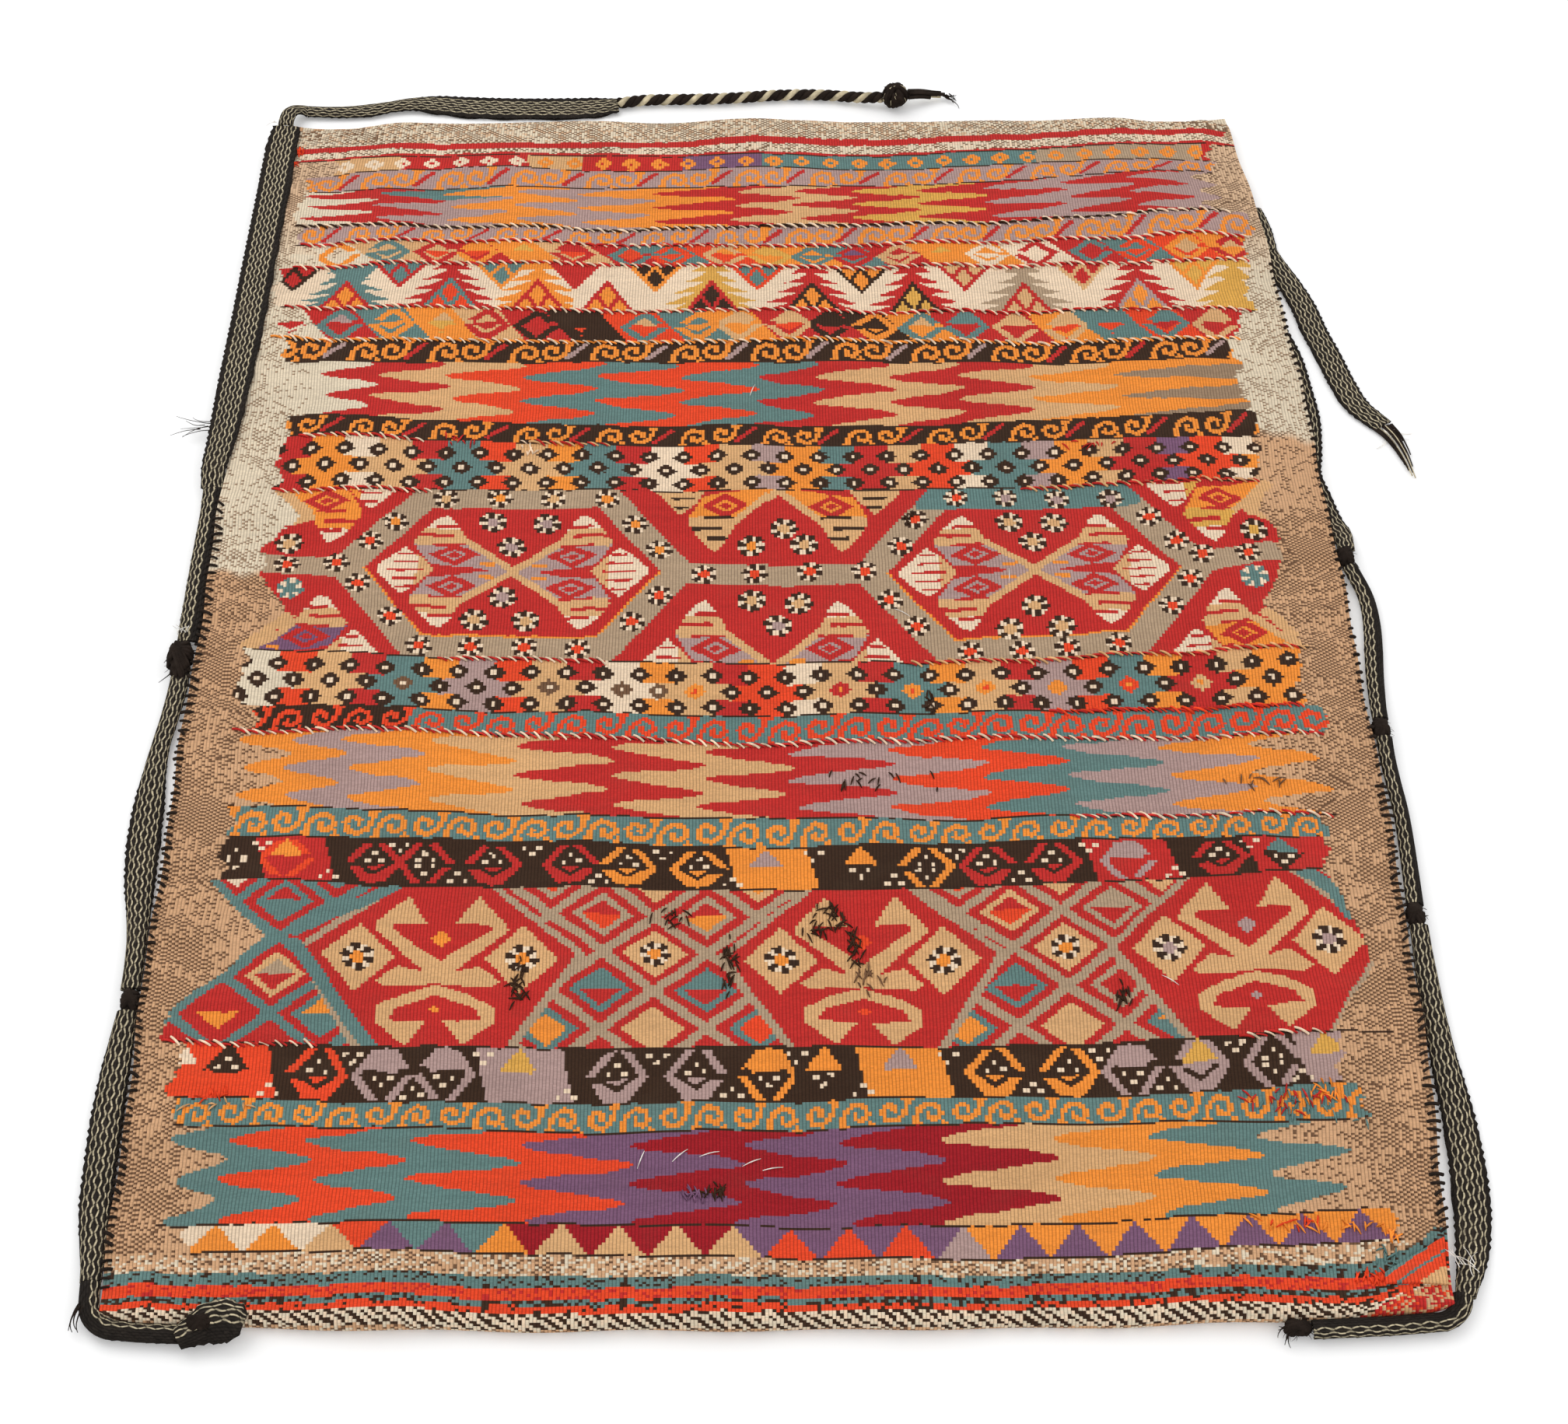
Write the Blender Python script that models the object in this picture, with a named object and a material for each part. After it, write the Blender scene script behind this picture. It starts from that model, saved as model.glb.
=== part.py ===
"""A flat-woven grain sack lying empty on the floor, with a carrying band along each side.

Metres, +Z up. +Y points to the mouth, +X to the right of the patterned face.
The origin is on the floor under the middle of the sack.
"""

import math

import bmesh
import bpy
from mathutils import Matrix, Vector

# Sack cloth
SACK_LENGTH = 1.140
SACK_WIDTH = 0.800
LEFT_BOW = 0.008
RIGHT_BOW = 0.021
FOLD_BOW = 0.008
BOW_POWER = 3
CLOTH_THICKNESS = 0.003
INNER_SPACE = 0.0065
MOUTH_STEP = 0.010
FOLD_DEPTH = 0.015
SEAM_WIDTH = 0.045
EDGE_OVERHANG = 0.024
EDGE_LIFT = 0.0055
EDGE_THICKNESS = 0.0035
TOUCH = 0.0003
SIDE_STATIONS = 24
FOLD_STATIONS = 16
FOLD_ARC_STEPS = 6
SACK_HEIGHT = CLOTH_THICKNESS + INNER_SPACE + CLOTH_THICKNESS
MOUTH_Y = SACK_LENGTH / 2
FRONT_MOUTH_Y = MOUTH_Y - MOUTH_STEP
FOLD_Y = -SACK_LENGTH / 2
HINGE_Y = FOLD_Y + FOLD_DEPTH
LEFT = -1
RIGHT = 1

# Overcast yarn
YARN = 0.0012
STITCH_REACH = 0.007
STITCH_PITCH = 0.018
LEFT_YARN_FROM = 0.020
LEFT_YARN_TO = 0.672
RIGHT_YARN_FROM = 0.054
RIGHT_YARN_TO = 0.945

# Carrying bands
BAND_WIDTH = 0.028
BAND_THICKNESS = 0.0024
BRAID_DIAMETER = 0.010
STATION_PITCH = 0.010
SIDE_OUT = 0.0082
FOLD_OUT = 0.0062
TACK_HEIGHT = 0.0066
TACK_RADII = (0.0063, 0.0082, 0.0060)
SEWN_ROLL = 9.0
KNOT_RINGS = 8
KNOT_SEGMENTS = 12
BRAID_SIDES = 2
WRAP_STEPS = 5

# Left band, sewn down the upper edge: distance from the mouth, how far out, height
LEFT_UPPER_BAND = (
    (0.0240, 0.0020, 0.0122),
    (0.0500, 0.0030, 0.0104),
    (0.1200, 0.0022, 0.0104),
    (0.2000, 0.0022, 0.0104),
    (0.2700, 0.0025, 0.0104),
    (0.3400, 0.0042, 0.0104),
    (0.3900, 0.0056, 0.0108),
    (0.4220, 0.0075, 0.0116),
    (0.4340, 0.0085, 0.0112),
    (0.4420, 0.0084, 0.0092),
    (0.4510, 0.0082, 0.0072),
)
LEFT_UPPER_WIDTH_SHARES = (0.80, 1.00, 1.00, 1.00, 1.00, 0.95, 0.85, 0.62, 0.50, 0.44, 0.42)
LEFT_UPPER_ROLL_SHARES = (0.0, 1.0, 1.0, 1.0, 1.0, 1.0, 1.0, 0.0, 0.0, 0.0, 0.0)
LEFT_BUNCHED_BAND = (
    (0.4513, 0.0082, 0.0070),
    (0.4800, 0.0082, 0.0062),
    (0.5300, 0.0086, 0.0062),
    (0.5800, 0.0082, 0.0066),
    (0.6067, 0.0085, 0.0080),
)
LEFT_BUNCHED_WIDTH_SHARES = (0.42, 0.42, 0.44, 0.42, 0.42)
LEFT_KNOT_FROM_MOUTH = 0.6195
LEFT_KNOT_RADII = (0.0095, 0.0125, 0.0085)
LEFT_KNOT_OUT = 0.0112
LEFT_LOWER_TACK_FROM_FOLD = 0.2267
# Left band beside the lower edge: distance from the fold, how far out, height
LEFT_LOWER_BAND = (
    (0.2182, 0.0082, 0.0066),
    (0.1980, 0.0094, 0.0055),
    (0.1700, 0.0110, 0.0042),
    (0.1400, 0.0118, 0.0038),
    (0.1100, 0.0118, 0.0038),
    (0.0800, 0.0116, 0.0040),
    (0.0550, 0.0100, 0.0046),
    (0.0350, 0.0086, 0.0060),
    (0.0255, 0.0082, 0.0066),
)
LEFT_LOWER_WIDTH_SHARES = (0.40, 0.50, 0.62, 0.70, 0.70, 0.68, 0.55, 0.42, 0.40)
LEFT_WRAP_FROM_FOLD = 0.0252
LEFT_WRAP_REACH = 0.058
LEFT_STUB_RADII = (0.0130, 0.0085, 0.0080)
LEFT_STUB_FORWARD = 0.0084
LEFT_STUB_HEIGHT = 0.0096
CORNER_LOOP_SHARE = 0.40
# Band over the far left corner: offset from the corner of the seam, and height
CORNER_LOOP = (
    (-0.0035, -0.0137, 0.0128),
    (-0.0035, -0.0050, 0.0128),
    (-0.0020, 0.0055, 0.0120),
    (0.0025, 0.0130, 0.0095),
    (0.0075, 0.0166, 0.0062),
    (0.0115, 0.0170, 0.0046),
)

# Right band, under the upper edge: distance from the mouth, how far out, height
RIGHT_HEAD_BAND = (
    (0.1180, -0.0020, 0.0024),
    (0.1400, 0.0010, 0.0024),
    (0.1615, 0.0015, 0.0024),
)
RIGHT_HEAD_WIDTH_SHARES = (0.60, 0.60, 0.60)
RIGHT_SEWN_BAND = (
    (0.2650, -0.0100, 0.0020),
    (0.3000, -0.0030, 0.0020),
    (0.3350, -0.0010, 0.0020),
    (0.3700, 0.0000, 0.0020),
    (0.4050, -0.0040, 0.0020),
    (0.4300, -0.0080, 0.0020),
    (0.4550, -0.0040, 0.0020),
    (0.4800, 0.0010, 0.0022),
    (0.4930, 0.0075, 0.0026),
    (0.5040, 0.0088, 0.0046),
    (0.5143, 0.0082, 0.0066),
)
RIGHT_SEWN_WIDTH_SHARES = (0.75, 0.75, 0.75, 0.75, 0.75, 0.75, 0.75, 0.70, 0.55, 0.42, 0.40)
RIGHT_UPPER_TACK_FROM_MOUTH = 0.5228
RIGHT_MIDDLE_TACK_FROM_MOUTH = 0.6872
RIGHT_LOWER_TACK_FROM_MOUTH = 0.8487
RIGHT_WRAP_FROM_FOLD = 0.0107
RIGHT_WRAP_REACH = 0.085
RIGHT_STUB_RADII = (0.0085, 0.0062, 0.0060)

# Patch on the near right corner: how far in from the edge, and distance from the fold
PATCH_OUTLINE = (
    (0.0025, 0.0480),
    (0.0400, 0.0235),
    (0.0400, 0.0158),
    (0.0025, 0.0158),
)
PATCH_THICKNESS = 0.002

# Free stretches of the bands, as laid by hand beside a sack of these two sizes
LAID_HALF_WIDTH = 0.400
LAID_MOUTH_Y = 0.570
LEFT_TIE_ROUTE = (
    (-0.3886, 0.5772, 0.0046),
    (-0.3740, 0.5770, 0.0042),
    (-0.3560, 0.5778, 0.0036),
    (-0.3360, 0.5806, 0.0034),
    (-0.3180, 0.5845, 0.0042),
    (-0.3000, 0.5885, 0.0040),
    (-0.2780, 0.5890, 0.0028),
    (-0.2480, 0.5864, 0.0020),
    (-0.2100, 0.5852, 0.0018),
    (-0.1700, 0.5856, 0.0018),
    (-0.1440, 0.5868, 0.0022),
    (-0.1230, 0.5890, 0.0032),
)
LEFT_TIE_SHARES = (0.40, 0.40, 0.46, 0.55, 0.42, 0.55, 0.85, 0.98, 0.98, 0.98, 0.94, 0.62)
LEFT_BRAID_ROUTE = (
    (-0.1224, 0.5890, 0.0054),
    (-0.1005, 0.5932, 0.0054),
    (-0.0786, 0.5944, 0.0054),
    (-0.0511, 0.5950, 0.0054),
    (-0.0181, 0.5974, 0.0054),
    (0.0094, 0.6005, 0.0054),
    (0.0370, 0.6018, 0.0054),
    (0.0590, 0.6008, 0.0056),
    (0.0755, 0.5980, 0.0064),
    (0.0918, 0.5946, 0.0080),
    (0.1047, 0.5930, 0.0100),
)
TIE_KNOT_CENTRE = (0.1162, 0.5930, 0.0113)
TIE_KNOT_RADII = (0.0112, 0.0130, 0.0110)
TIE_TAIL_ROUTE = (
    (0.1277, 0.5950, 0.0110),
    (0.1390, 0.5995, 0.0082),
    (0.1500, 0.6011, 0.0058),
    (0.1600, 0.6020, 0.0046),
)
TIE_TAIL_SHARES = (0.36, 0.42, 0.38, 0.24)
TAIL_THICKNESS = 0.008
LEFT_LOOP_ROUTE = (
    (-0.4163, -0.0623, 0.0070),
    (-0.4170, -0.0800, 0.0060),
    (-0.4195, -0.1050, 0.0050),
    (-0.4225, -0.1300, 0.0045),
    (-0.4238, -0.1550, 0.0036),
    (-0.4238, -0.1850, 0.0026),
    (-0.4232, -0.2150, 0.0024),
    (-0.4212, -0.2450, 0.0028),
    (-0.4185, -0.2700, 0.0038),
    (-0.4160, -0.2950, 0.0052),
    (-0.4148, -0.3180, 0.0062),
    (-0.4146, -0.3348, 0.0066),
)
LEFT_LOOP_SHARES = (0.40, 0.42, 0.40, 0.40, 0.52, 0.75, 0.80, 0.70, 0.52, 0.42, 0.40, 0.40)
RIGHT_TIE_ROUTE = (
    (0.4152, 0.4082, 0.0024),
    (0.4165, 0.3980, 0.0024),
    (0.4195, 0.3850, 0.0022),
    (0.4275, 0.3610, 0.0020),
    (0.4355, 0.3325, 0.0018),
    (0.4410, 0.3005, 0.0018),
    (0.4470, 0.2755, 0.0018),
    (0.4540, 0.2415, 0.0018),
    (0.4625, 0.2145, 0.0020),
    (0.4790, 0.1925, 0.0022),
)
RIGHT_TIE_SHARES = (0.60, 0.62, 0.75, 0.90, 1.0, 1.0, 1.0, 1.0, 0.90, 0.70)
FRINGE_ROUTE = (
    (0.4792, 0.1922, 0.0022),
    (0.4860, 0.1800, 0.0020),
    (0.4915, 0.1600, 0.0018),
    (0.4948, 0.1360, 0.0016),
)
FRINGE_SHARES = (0.60, 0.70, 0.50, 0.20)
FRINGE_THICKNESS = 0.0022
RIGHT_UPPER_LOOP_ROUTE = (
    (0.4292, 0.0387, 0.0066),
    (0.4325, 0.0290, 0.0055),
    (0.4365, 0.0150, 0.0042),
    (0.4382, 0.0000, 0.0036),
    (0.4376, -0.0200, 0.0032),
    (0.4352, -0.0420, 0.0030),
    (0.4325, -0.0640, 0.0034),
    (0.4305, -0.0850, 0.0046),
    (0.4293, -0.0990, 0.0060),
    (0.4290, -0.1087, 0.0066),
)
RIGHT_UPPER_LOOP_SHARES = (0.38, 0.38, 0.42, 0.50, 0.60, 0.65, 0.60, 0.50, 0.42, 0.38)
RIGHT_MIDDLE_LOOP_ROUTE = (
    (0.4290, -0.1257, 0.0066),
    (0.4288, -0.1438, 0.0056),
    (0.4296, -0.1637, 0.0048),
    (0.4306, -0.1832, 0.0045),
    (0.4307, -0.1998, 0.0045),
    (0.4300, -0.2189, 0.0046),
    (0.4290, -0.2377, 0.0050),
    (0.4278, -0.2560, 0.0060),
    (0.4268, -0.2702, 0.0066),
)
RIGHT_MIDDLE_LOOP_SHARES = (0.38, 0.36, 0.34, 0.34, 0.34, 0.36, 0.38, 0.38, 0.38)
RIGHT_LOWER_LOOP_ROUTE = (
    (0.4267, -0.2872, 0.0066),
    (0.4262, -0.3050, 0.0056),
    (0.4258, -0.3250, 0.0046),
    (0.4257, -0.3480, 0.0042),
    (0.4260, -0.3700, 0.0036),
    (0.4264, -0.3880, 0.0032),
    (0.4273, -0.4073, 0.0028),
    (0.4283, -0.4312, 0.0025),
    (0.4281, -0.4546, 0.0024),
    (0.4272, -0.4776, 0.0022),
    (0.4250, -0.5002, 0.0022),
    (0.4212, -0.5224, 0.0028),
    (0.4165, -0.5400, 0.0046),
    (0.4120, -0.5520, 0.0060),
    (0.4098, -0.5590, 0.0066),
)
RIGHT_LOWER_LOOP_SHARES = (
    0.40, 0.42, 0.48, 0.50, 0.55, 0.60, 0.70, 0.80, 0.85, 0.90, 0.90, 0.78, 0.58, 0.45, 0.40,
)

# Axes that the loops lift about, along Y: beside the innermost edge of each loop, level with its top
LEFT_LOOP_AXIS = (-0.4090, 0.0101)
RIGHT_UPPER_LOOP_AXIS = (0.4234, 0.0100)
RIGHT_MIDDLE_LOOP_AXIS = (0.4215, 0.0100)
RIGHT_LOWER_LOOP_AXIS = (0.4042, 0.0100)

# Colours, roughness in the last place
CLOTH_FRONT = (0.52, 0.16, 0.07, 0.92)
CLOTH_BACK = (0.36, 0.25, 0.17, 0.95)
CLOTH_FOLD = (0.45, 0.17, 0.10, 0.92)
CLOTH_MARGIN = (0.40, 0.28, 0.18, 0.95)
YARN_BLACK = (0.02, 0.017, 0.013, 0.95)
BAND_DARK = (0.06, 0.05, 0.04, 0.90)
BAND_MIXED = (0.17, 0.14, 0.10, 0.90)
PATCH_RED = (0.48, 0.12, 0.10, 0.92)


def clear_scene():
    """Remove what the file opens with."""
    for ob in list(bpy.data.objects):
        bpy.data.objects.remove(ob, do_unlink=True)


def finish(ob, colour):
    """Give an object its own material and smooth shading with crisp edges."""
    material = bpy.data.materials.new(ob.name)
    material.use_nodes = True
    shader = material.node_tree.nodes["Principled BSDF"]
    shader.inputs["Base Color"].default_value = (*colour[:3], 1.0)
    shader.inputs["Roughness"].default_value = colour[3]
    shader.inputs["Metallic"].default_value = 0.0
    ob.data.materials.append(material)
    return ob


def object_from(name, shape, colour):
    """Turn a bmesh into a named object."""
    bmesh.ops.recalc_face_normals(shape, faces=shape.faces)
    mesh = bpy.data.meshes.new(name)
    shape.to_mesh(mesh)
    shape.free()
    mesh.shade_smooth()
    mesh.set_sharp_from_angle(angle=math.radians(40.0))
    ob = bpy.data.objects.new(name, mesh)
    bpy.context.scene.collection.objects.link(ob)
    return finish(ob, colour)


def pivot(name, place):
    """An empty on a joint's axis, for the pieces that turn about it."""
    ob = bpy.data.objects.new(name, None)
    ob.location = place
    bpy.context.scene.collection.objects.link(ob)
    return ob


def loop_pivot(name, side, axis, route):
    """The pivot of a loop that lifts about a line along Y."""
    out = side * (SACK_WIDTH / 2 - LAID_HALF_WIDTH)
    return pivot(name, (axis[0] + out, route[0][1], axis[1]))


def hang(ob, parent):
    """Parent a piece to a pivot and leave it where it lies."""
    ob.parent = parent
    ob.matrix_parent_inverse = Matrix.Translation(-world_place(parent))


def world_place(ob):
    """Where an unturned empty stands, up its chain of parents."""
    place = ob.location.copy()
    if ob.parent:
        place += ob.matrix_parent_inverse.translation + world_place(ob.parent)
    return place


def bow(along):
    """1 in the middle of an edge and 0 at its ends, for along from -1 to 1."""
    return 1.0 - abs(along) ** BOW_POWER


def side_edge(side, y):
    """X of the sack's side edge at a given y."""
    depth = LEFT_BOW if side == LEFT else RIGHT_BOW
    return side * (SACK_WIDTH / 2 + depth * bow(2 * y / SACK_LENGTH))


def fold_edge(x):
    """Y of the folded edge at a given x."""
    reach = max(-1.0, min(1.0, 2 * x / SACK_WIDTH))
    return FOLD_Y - FOLD_BOW * bow(reach)


def spread(low, high, count):
    """Evenly spaced values from low to high, both included."""
    return [low + (high - low) * i / (count - 1) for i in range(count)]


def add_loft(shape, rings):
    """Skin a row of rings of points into one closed body."""
    rows = [[shape.verts.new(point) for point in ring] for ring in rings]
    count = len(rows[0])
    for first, second in zip(rows, rows[1:]):
        for i in range(count):
            j = (i + 1) % count
            shape.faces.new((first[i], first[j], second[j], second[i]))
    shape.faces.new(rows[0])
    shape.faces.new(list(reversed(rows[-1])))


def lofted(name, rings, colour):
    """One closed body skinned over rings of points."""
    shape = bmesh.new()
    add_loft(shape, rings)
    return object_from(name, shape, colour)


def smooth_route(points, pitch):
    """Points read from a smooth curve through the given ones, about pitch apart.

    Gives each point with its place along the given ones, as a number from 0 to their count less 1.
    """
    ends = [Vector(p) for p in points]
    padded = [2 * ends[0] - ends[1], *ends, 2 * ends[-1] - ends[-2]]
    found = []
    for i in range(len(ends) - 1):
        a, b, c, d = padded[i : i + 4]
        steps = max(1, round((c - b).length / pitch))
        for k in range(steps):
            found.append((spline_point(a, b, c, d, k / steps), i + k / steps))
    found.append((ends[-1], float(len(ends) - 1)))
    return found


def spline_point(a, b, c, d, t):
    """A point on the stretch from b to c of a Catmull-Rom curve."""
    square, cube = t * t, t * t * t
    return 0.5 * (
        2 * b + (c - a) * t + (2 * a - 5 * b + 4 * c - d) * square + (3 * b - a - 3 * c + d) * cube
    )


def between(values, place):
    """A list's value at a fractional place."""
    low = min(int(place), len(values) - 2)
    return values[low] + (values[low + 1] - values[low]) * (place - low)


def directions(points):
    """The unit direction of travel at each point, squared to X or Y at both ends so that ends meet."""
    found = []
    for i in range(len(points)):
        ahead = points[min(i + 1, len(points) - 1)]
        behind = points[max(i - 1, 0)]
        found.append((ahead - behind).normalized())
    found[0] = squared(found[0])
    found[-1] = squared(found[-1])
    return found


def squared(way):
    """The nearer of the X and Y directions."""
    if abs(way.x) > abs(way.y):
        return Vector((math.copysign(1.0, way.x), 0.0, 0.0))
    return Vector((0.0, math.copysign(1.0, way.y), 0.0))


def rounded_start(run, half):
    """Share of the full half width at a distance from a round end."""
    if run >= half:
        return 1.0
    return math.sqrt(max(half * half - (half - run) ** 2, 0.0)) / half


def band_solid(name, route, shares, colour, rolls=None, thickness=None, round_end=False):
    """A flat band along a route. Where it is bunched it is narrower and thicker.

    A round start lets the band swing about a pivot half its width inside the end.
    """
    sampled = smooth_route(route, STATION_PITCH)
    if round_end:
        half = BAND_WIDTH * shares[0] / 2
        sampled = with_round_stations(sampled, half)
    points = [point for point, _ in sampled]
    rings = []
    travelled = 0.0
    for i, ((point, place), ahead) in enumerate(zip(sampled, directions(points))):
        if i:
            travelled += (point - points[i - 1]).length
        share = between(shares, place)
        width = BAND_WIDTH * share
        if round_end:
            width *= max(rounded_start(travelled, width / 2), ROUND_LEAST_SHARE)
        depth = thickness or BAND_THICKNESS / share
        roll = math.radians(between(rolls, place)) if rolls else 0.0
        side = Vector((ahead.y, -ahead.x, 0.0)).normalized()
        side = (Matrix.Rotation(roll, 3, ahead) @ side) * (width / 2)
        up = side.cross(ahead).normalized() * (depth / 2)
        rings.append([point + side + up, point - side + up, point - side - up, point + side - up])
    return lofted(name, rings, colour)


ROUND_LEAST_SHARE = 0.25
ROUND_STEP_SHARES = (0.12, 0.35, 0.65)


def with_round_stations(sampled, half):
    """Extra stations inside the first half width, so that the end comes out round."""
    first, second = sampled[0][0], sampled[1][0]
    reach = (second - first).length
    extra = []
    for share in ROUND_STEP_SHARES:
        way = share * half / reach
        extra.append((first.lerp(second, way), way * sampled[1][1]))
    return [sampled[0], *extra, *sampled[1:]]


def side_band(name, side, rows, shares, colour, roll_shares=None, from_mouth=True):
    """A band held along a side edge, from rows of distance, how far out and height."""
    route = []
    for distance, out, height in rows:
        y = MOUTH_Y - distance if from_mouth else FOLD_Y + distance
        route.append((side_edge(side, y) + side * out, y, height))
    rolls = [-side * SEWN_ROLL * share for share in roll_shares] if roll_shares else None
    return band_solid(name, route, shares, colour, rolls)


def laid(route, side):
    """A free route, moved with the far corner of its side."""
    out = side * (SACK_WIDTH / 2 - LAID_HALF_WIDTH)
    up = MOUTH_Y - LAID_MOUTH_Y
    return [(x + out, y + up, z) for x, y, z in route]


def laid_between(route, side, start, end):
    """A loop's route, stretched along Y to run from one sewn place to the next."""
    out = side * (SACK_WIDTH / 2 - LAID_HALF_WIDTH)
    first, last = route[0][1], route[-1][1]
    stretch = (end - start) / (last - first)
    return [(x + out, start + (y - first) * stretch, z) for x, y, z in route]


def laid_point(point, side):
    """One point of a free route, moved as the route is."""
    return laid([point], side)[0]


def knot(name, centre, radii, colour):
    """A closed lump of tied band."""
    shape = bmesh.new()
    place = Matrix.Translation(centre) @ Matrix.Diagonal((*radii, 1.0))
    bmesh.ops.create_uvsphere(
        shape, u_segments=KNOT_SEGMENTS, v_segments=KNOT_RINGS, radius=1.0, matrix=place
    )
    return object_from(name, shape, colour)


def flat_panel(name, near, far, inset, floor, colour):
    """A layer of cloth whose sides follow the sack's, as far in as inset."""
    outline = [Vector((side_edge(RIGHT, y) - inset, y, floor)) for y in spread(near, far, SIDE_STATIONS)]
    outline += [Vector((side_edge(LEFT, y) + inset, y, floor)) for y in spread(far, near, SIDE_STATIONS)]
    shape = bmesh.new()
    face = shape.faces.new([shape.verts.new(point) for point in outline])
    raised = bmesh.ops.extrude_face_region(shape, geom=[face])
    top = [item for item in raised["geom"] if isinstance(item, bmesh.types.BMVert)]
    bmesh.ops.translate(shape, verts=top, vec=(0.0, 0.0, CLOTH_THICKNESS))
    return object_from(name, shape, colour)


def back_panel():
    """The plain layer that lies on the floor, and sticks out a little at the mouth."""
    return flat_panel("back_panel", HINGE_Y + TOUCH, MOUTH_Y, EDGE_OVERHANG, 0.0, CLOTH_BACK)


def front_panel():
    """The patterned layer between the side seams."""
    floor = CLOTH_THICKNESS + INNER_SPACE
    return flat_panel(
        "front_panel", HINGE_Y + TOUCH, FRONT_MOUTH_Y, SEAM_WIDTH + TOUCH, floor, CLOTH_FRONT
    )


def bottom_fold():
    """The rounded fold at the near edge, a half-round bar that bows forward in its middle."""
    radius = SACK_HEIGHT / 2
    rings = []
    for x in spread(-SACK_WIDTH / 2, SACK_WIDTH / 2, FOLD_STATIONS):
        middle = fold_edge(x) + radius
        ring = [(x, HINGE_Y, 0.0), (x, HINGE_Y, SACK_HEIGHT)]
        for step in range(FOLD_ARC_STEPS + 1):
            angle = math.pi / 2 - math.pi * step / FOLD_ARC_STEPS
            ring.append((x, middle - radius * math.cos(angle), radius + radius * math.sin(angle)))
        rings.append(ring)
    return lofted("bottom_fold", rings, CLOTH_FOLD)


def seam_top(inward):
    """Height of a seam's upper face, a given way in from its edge."""
    edge = EDGE_LIFT + EDGE_THICKNESS
    return edge + (SACK_HEIGHT - edge) * inward / SEAM_WIDTH


def seam_bottom(inward):
    """Height of a seam's lower face, a given way in from its edge."""
    return EDGE_LIFT + (CLOTH_THICKNESS + TOUCH - EDGE_LIFT) * inward / SEAM_WIDTH


def side_seam(name, side):
    """A side margin, where both layers run together into the sewn edge."""
    rings = []
    for y in spread(HINGE_Y + TOUCH, FRONT_MOUTH_Y, SIDE_STATIONS):
        edge = side_edge(side, y)
        inner = edge - side * SEAM_WIDTH
        rings.append(
            [
                (edge, y, seam_bottom(0.0)),
                (edge, y, seam_top(0.0)),
                (inner, y, seam_top(SEAM_WIDTH)),
                (inner, y, seam_bottom(SEAM_WIDTH)),
            ]
        )
    return lofted(name, rings, CLOTH_MARGIN)


def seam_yarn(name, side, start, end):
    """One yarn along a side edge with a stitch inward at every pitch, from start to end off the fold."""
    shape = bmesh.new()

    def corner(inward, y):
        return shape.verts.new((side_edge(side, y) - side * inward, y, seam_top(inward) + TOUCH))

    faces = []
    last = None
    for i in range(int((end - start) / STITCH_PITCH) + 1):
        y = FOLD_Y + start + i * STITCH_PITCH
        here = [corner(inward, y) for inward in (0.0, YARN, STITCH_REACH)]
        there = [corner(inward, y + YARN) for inward in (0.0, YARN, STITCH_REACH)]
        for k in range(2):
            faces.append(shape.faces.new((here[k], here[k + 1], there[k + 1], there[k])))
        if last:
            faces.append(shape.faces.new((last[0], last[1], here[1], here[0])))
        last = there
    raised = bmesh.ops.extrude_face_region(shape, geom=faces)
    top = [item for item in raised["geom"] if isinstance(item, bmesh.types.BMVert)]
    bmesh.ops.translate(shape, verts=top, vec=(0.0, 0.0, YARN))
    return object_from(name, shape, YARN_BLACK)


def tack(name, side, from_mouth):
    """Where a band is bunched and sewn to a side edge."""
    y = MOUTH_Y - from_mouth
    centre = (side_edge(side, y) + side * SIDE_OUT, y, TACK_HEIGHT)
    return knot(name, centre, TACK_RADII, YARN_BLACK)


def corner_wrap(name, side, start, reach, share):
    """A bunched band that turns a near corner and runs along the fold."""
    corner = SACK_WIDTH / 2
    route = [(side_edge(side, FOLD_Y + start) + side * SIDE_OUT, FOLD_Y + start, TACK_HEIGHT)]
    for step in range(WRAP_STEPS + 1):
        turn = math.pi / 2 * step / WRAP_STEPS
        out = SIDE_OUT + (FOLD_OUT - SIDE_OUT) * step / WRAP_STEPS
        route.append(
            (side * (corner + out * math.cos(turn)), FOLD_Y - out * math.sin(turn), TACK_HEIGHT)
        )
    for step in range(1, WRAP_STEPS + 1):
        x = corner - reach * step / WRAP_STEPS
        route.append((side * x, fold_edge(x) - FOLD_OUT, TACK_HEIGHT))
    return band_solid(name, route, [share] * len(route), BAND_DARK)


def corner_loop():
    """The left band, bunched, where it turns over the far left corner to its tie end."""
    corner = Vector((side_edge(LEFT, FRONT_MOUTH_Y), FRONT_MOUTH_Y, 0.0))
    route = [corner + Vector(offset) for offset in CORNER_LOOP]
    return band_solid("left_corner_loop", route, [CORNER_LOOP_SHARE] * len(route), BAND_DARK)


def corner_patch():
    """A scrap of cloth on the near right corner, lying on the seam's slope."""
    low, high = [], []
    for inward, from_fold in PATCH_OUTLINE:
        y = FOLD_Y + from_fold
        x = side_edge(RIGHT, y) - inward
        low.append((x, y, seam_top(inward) + TOUCH))
        high.append((x, y, seam_top(inward) + TOUCH + PATCH_THICKNESS))
    return lofted("corner_patch", [low, high], PATCH_RED)


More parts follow.
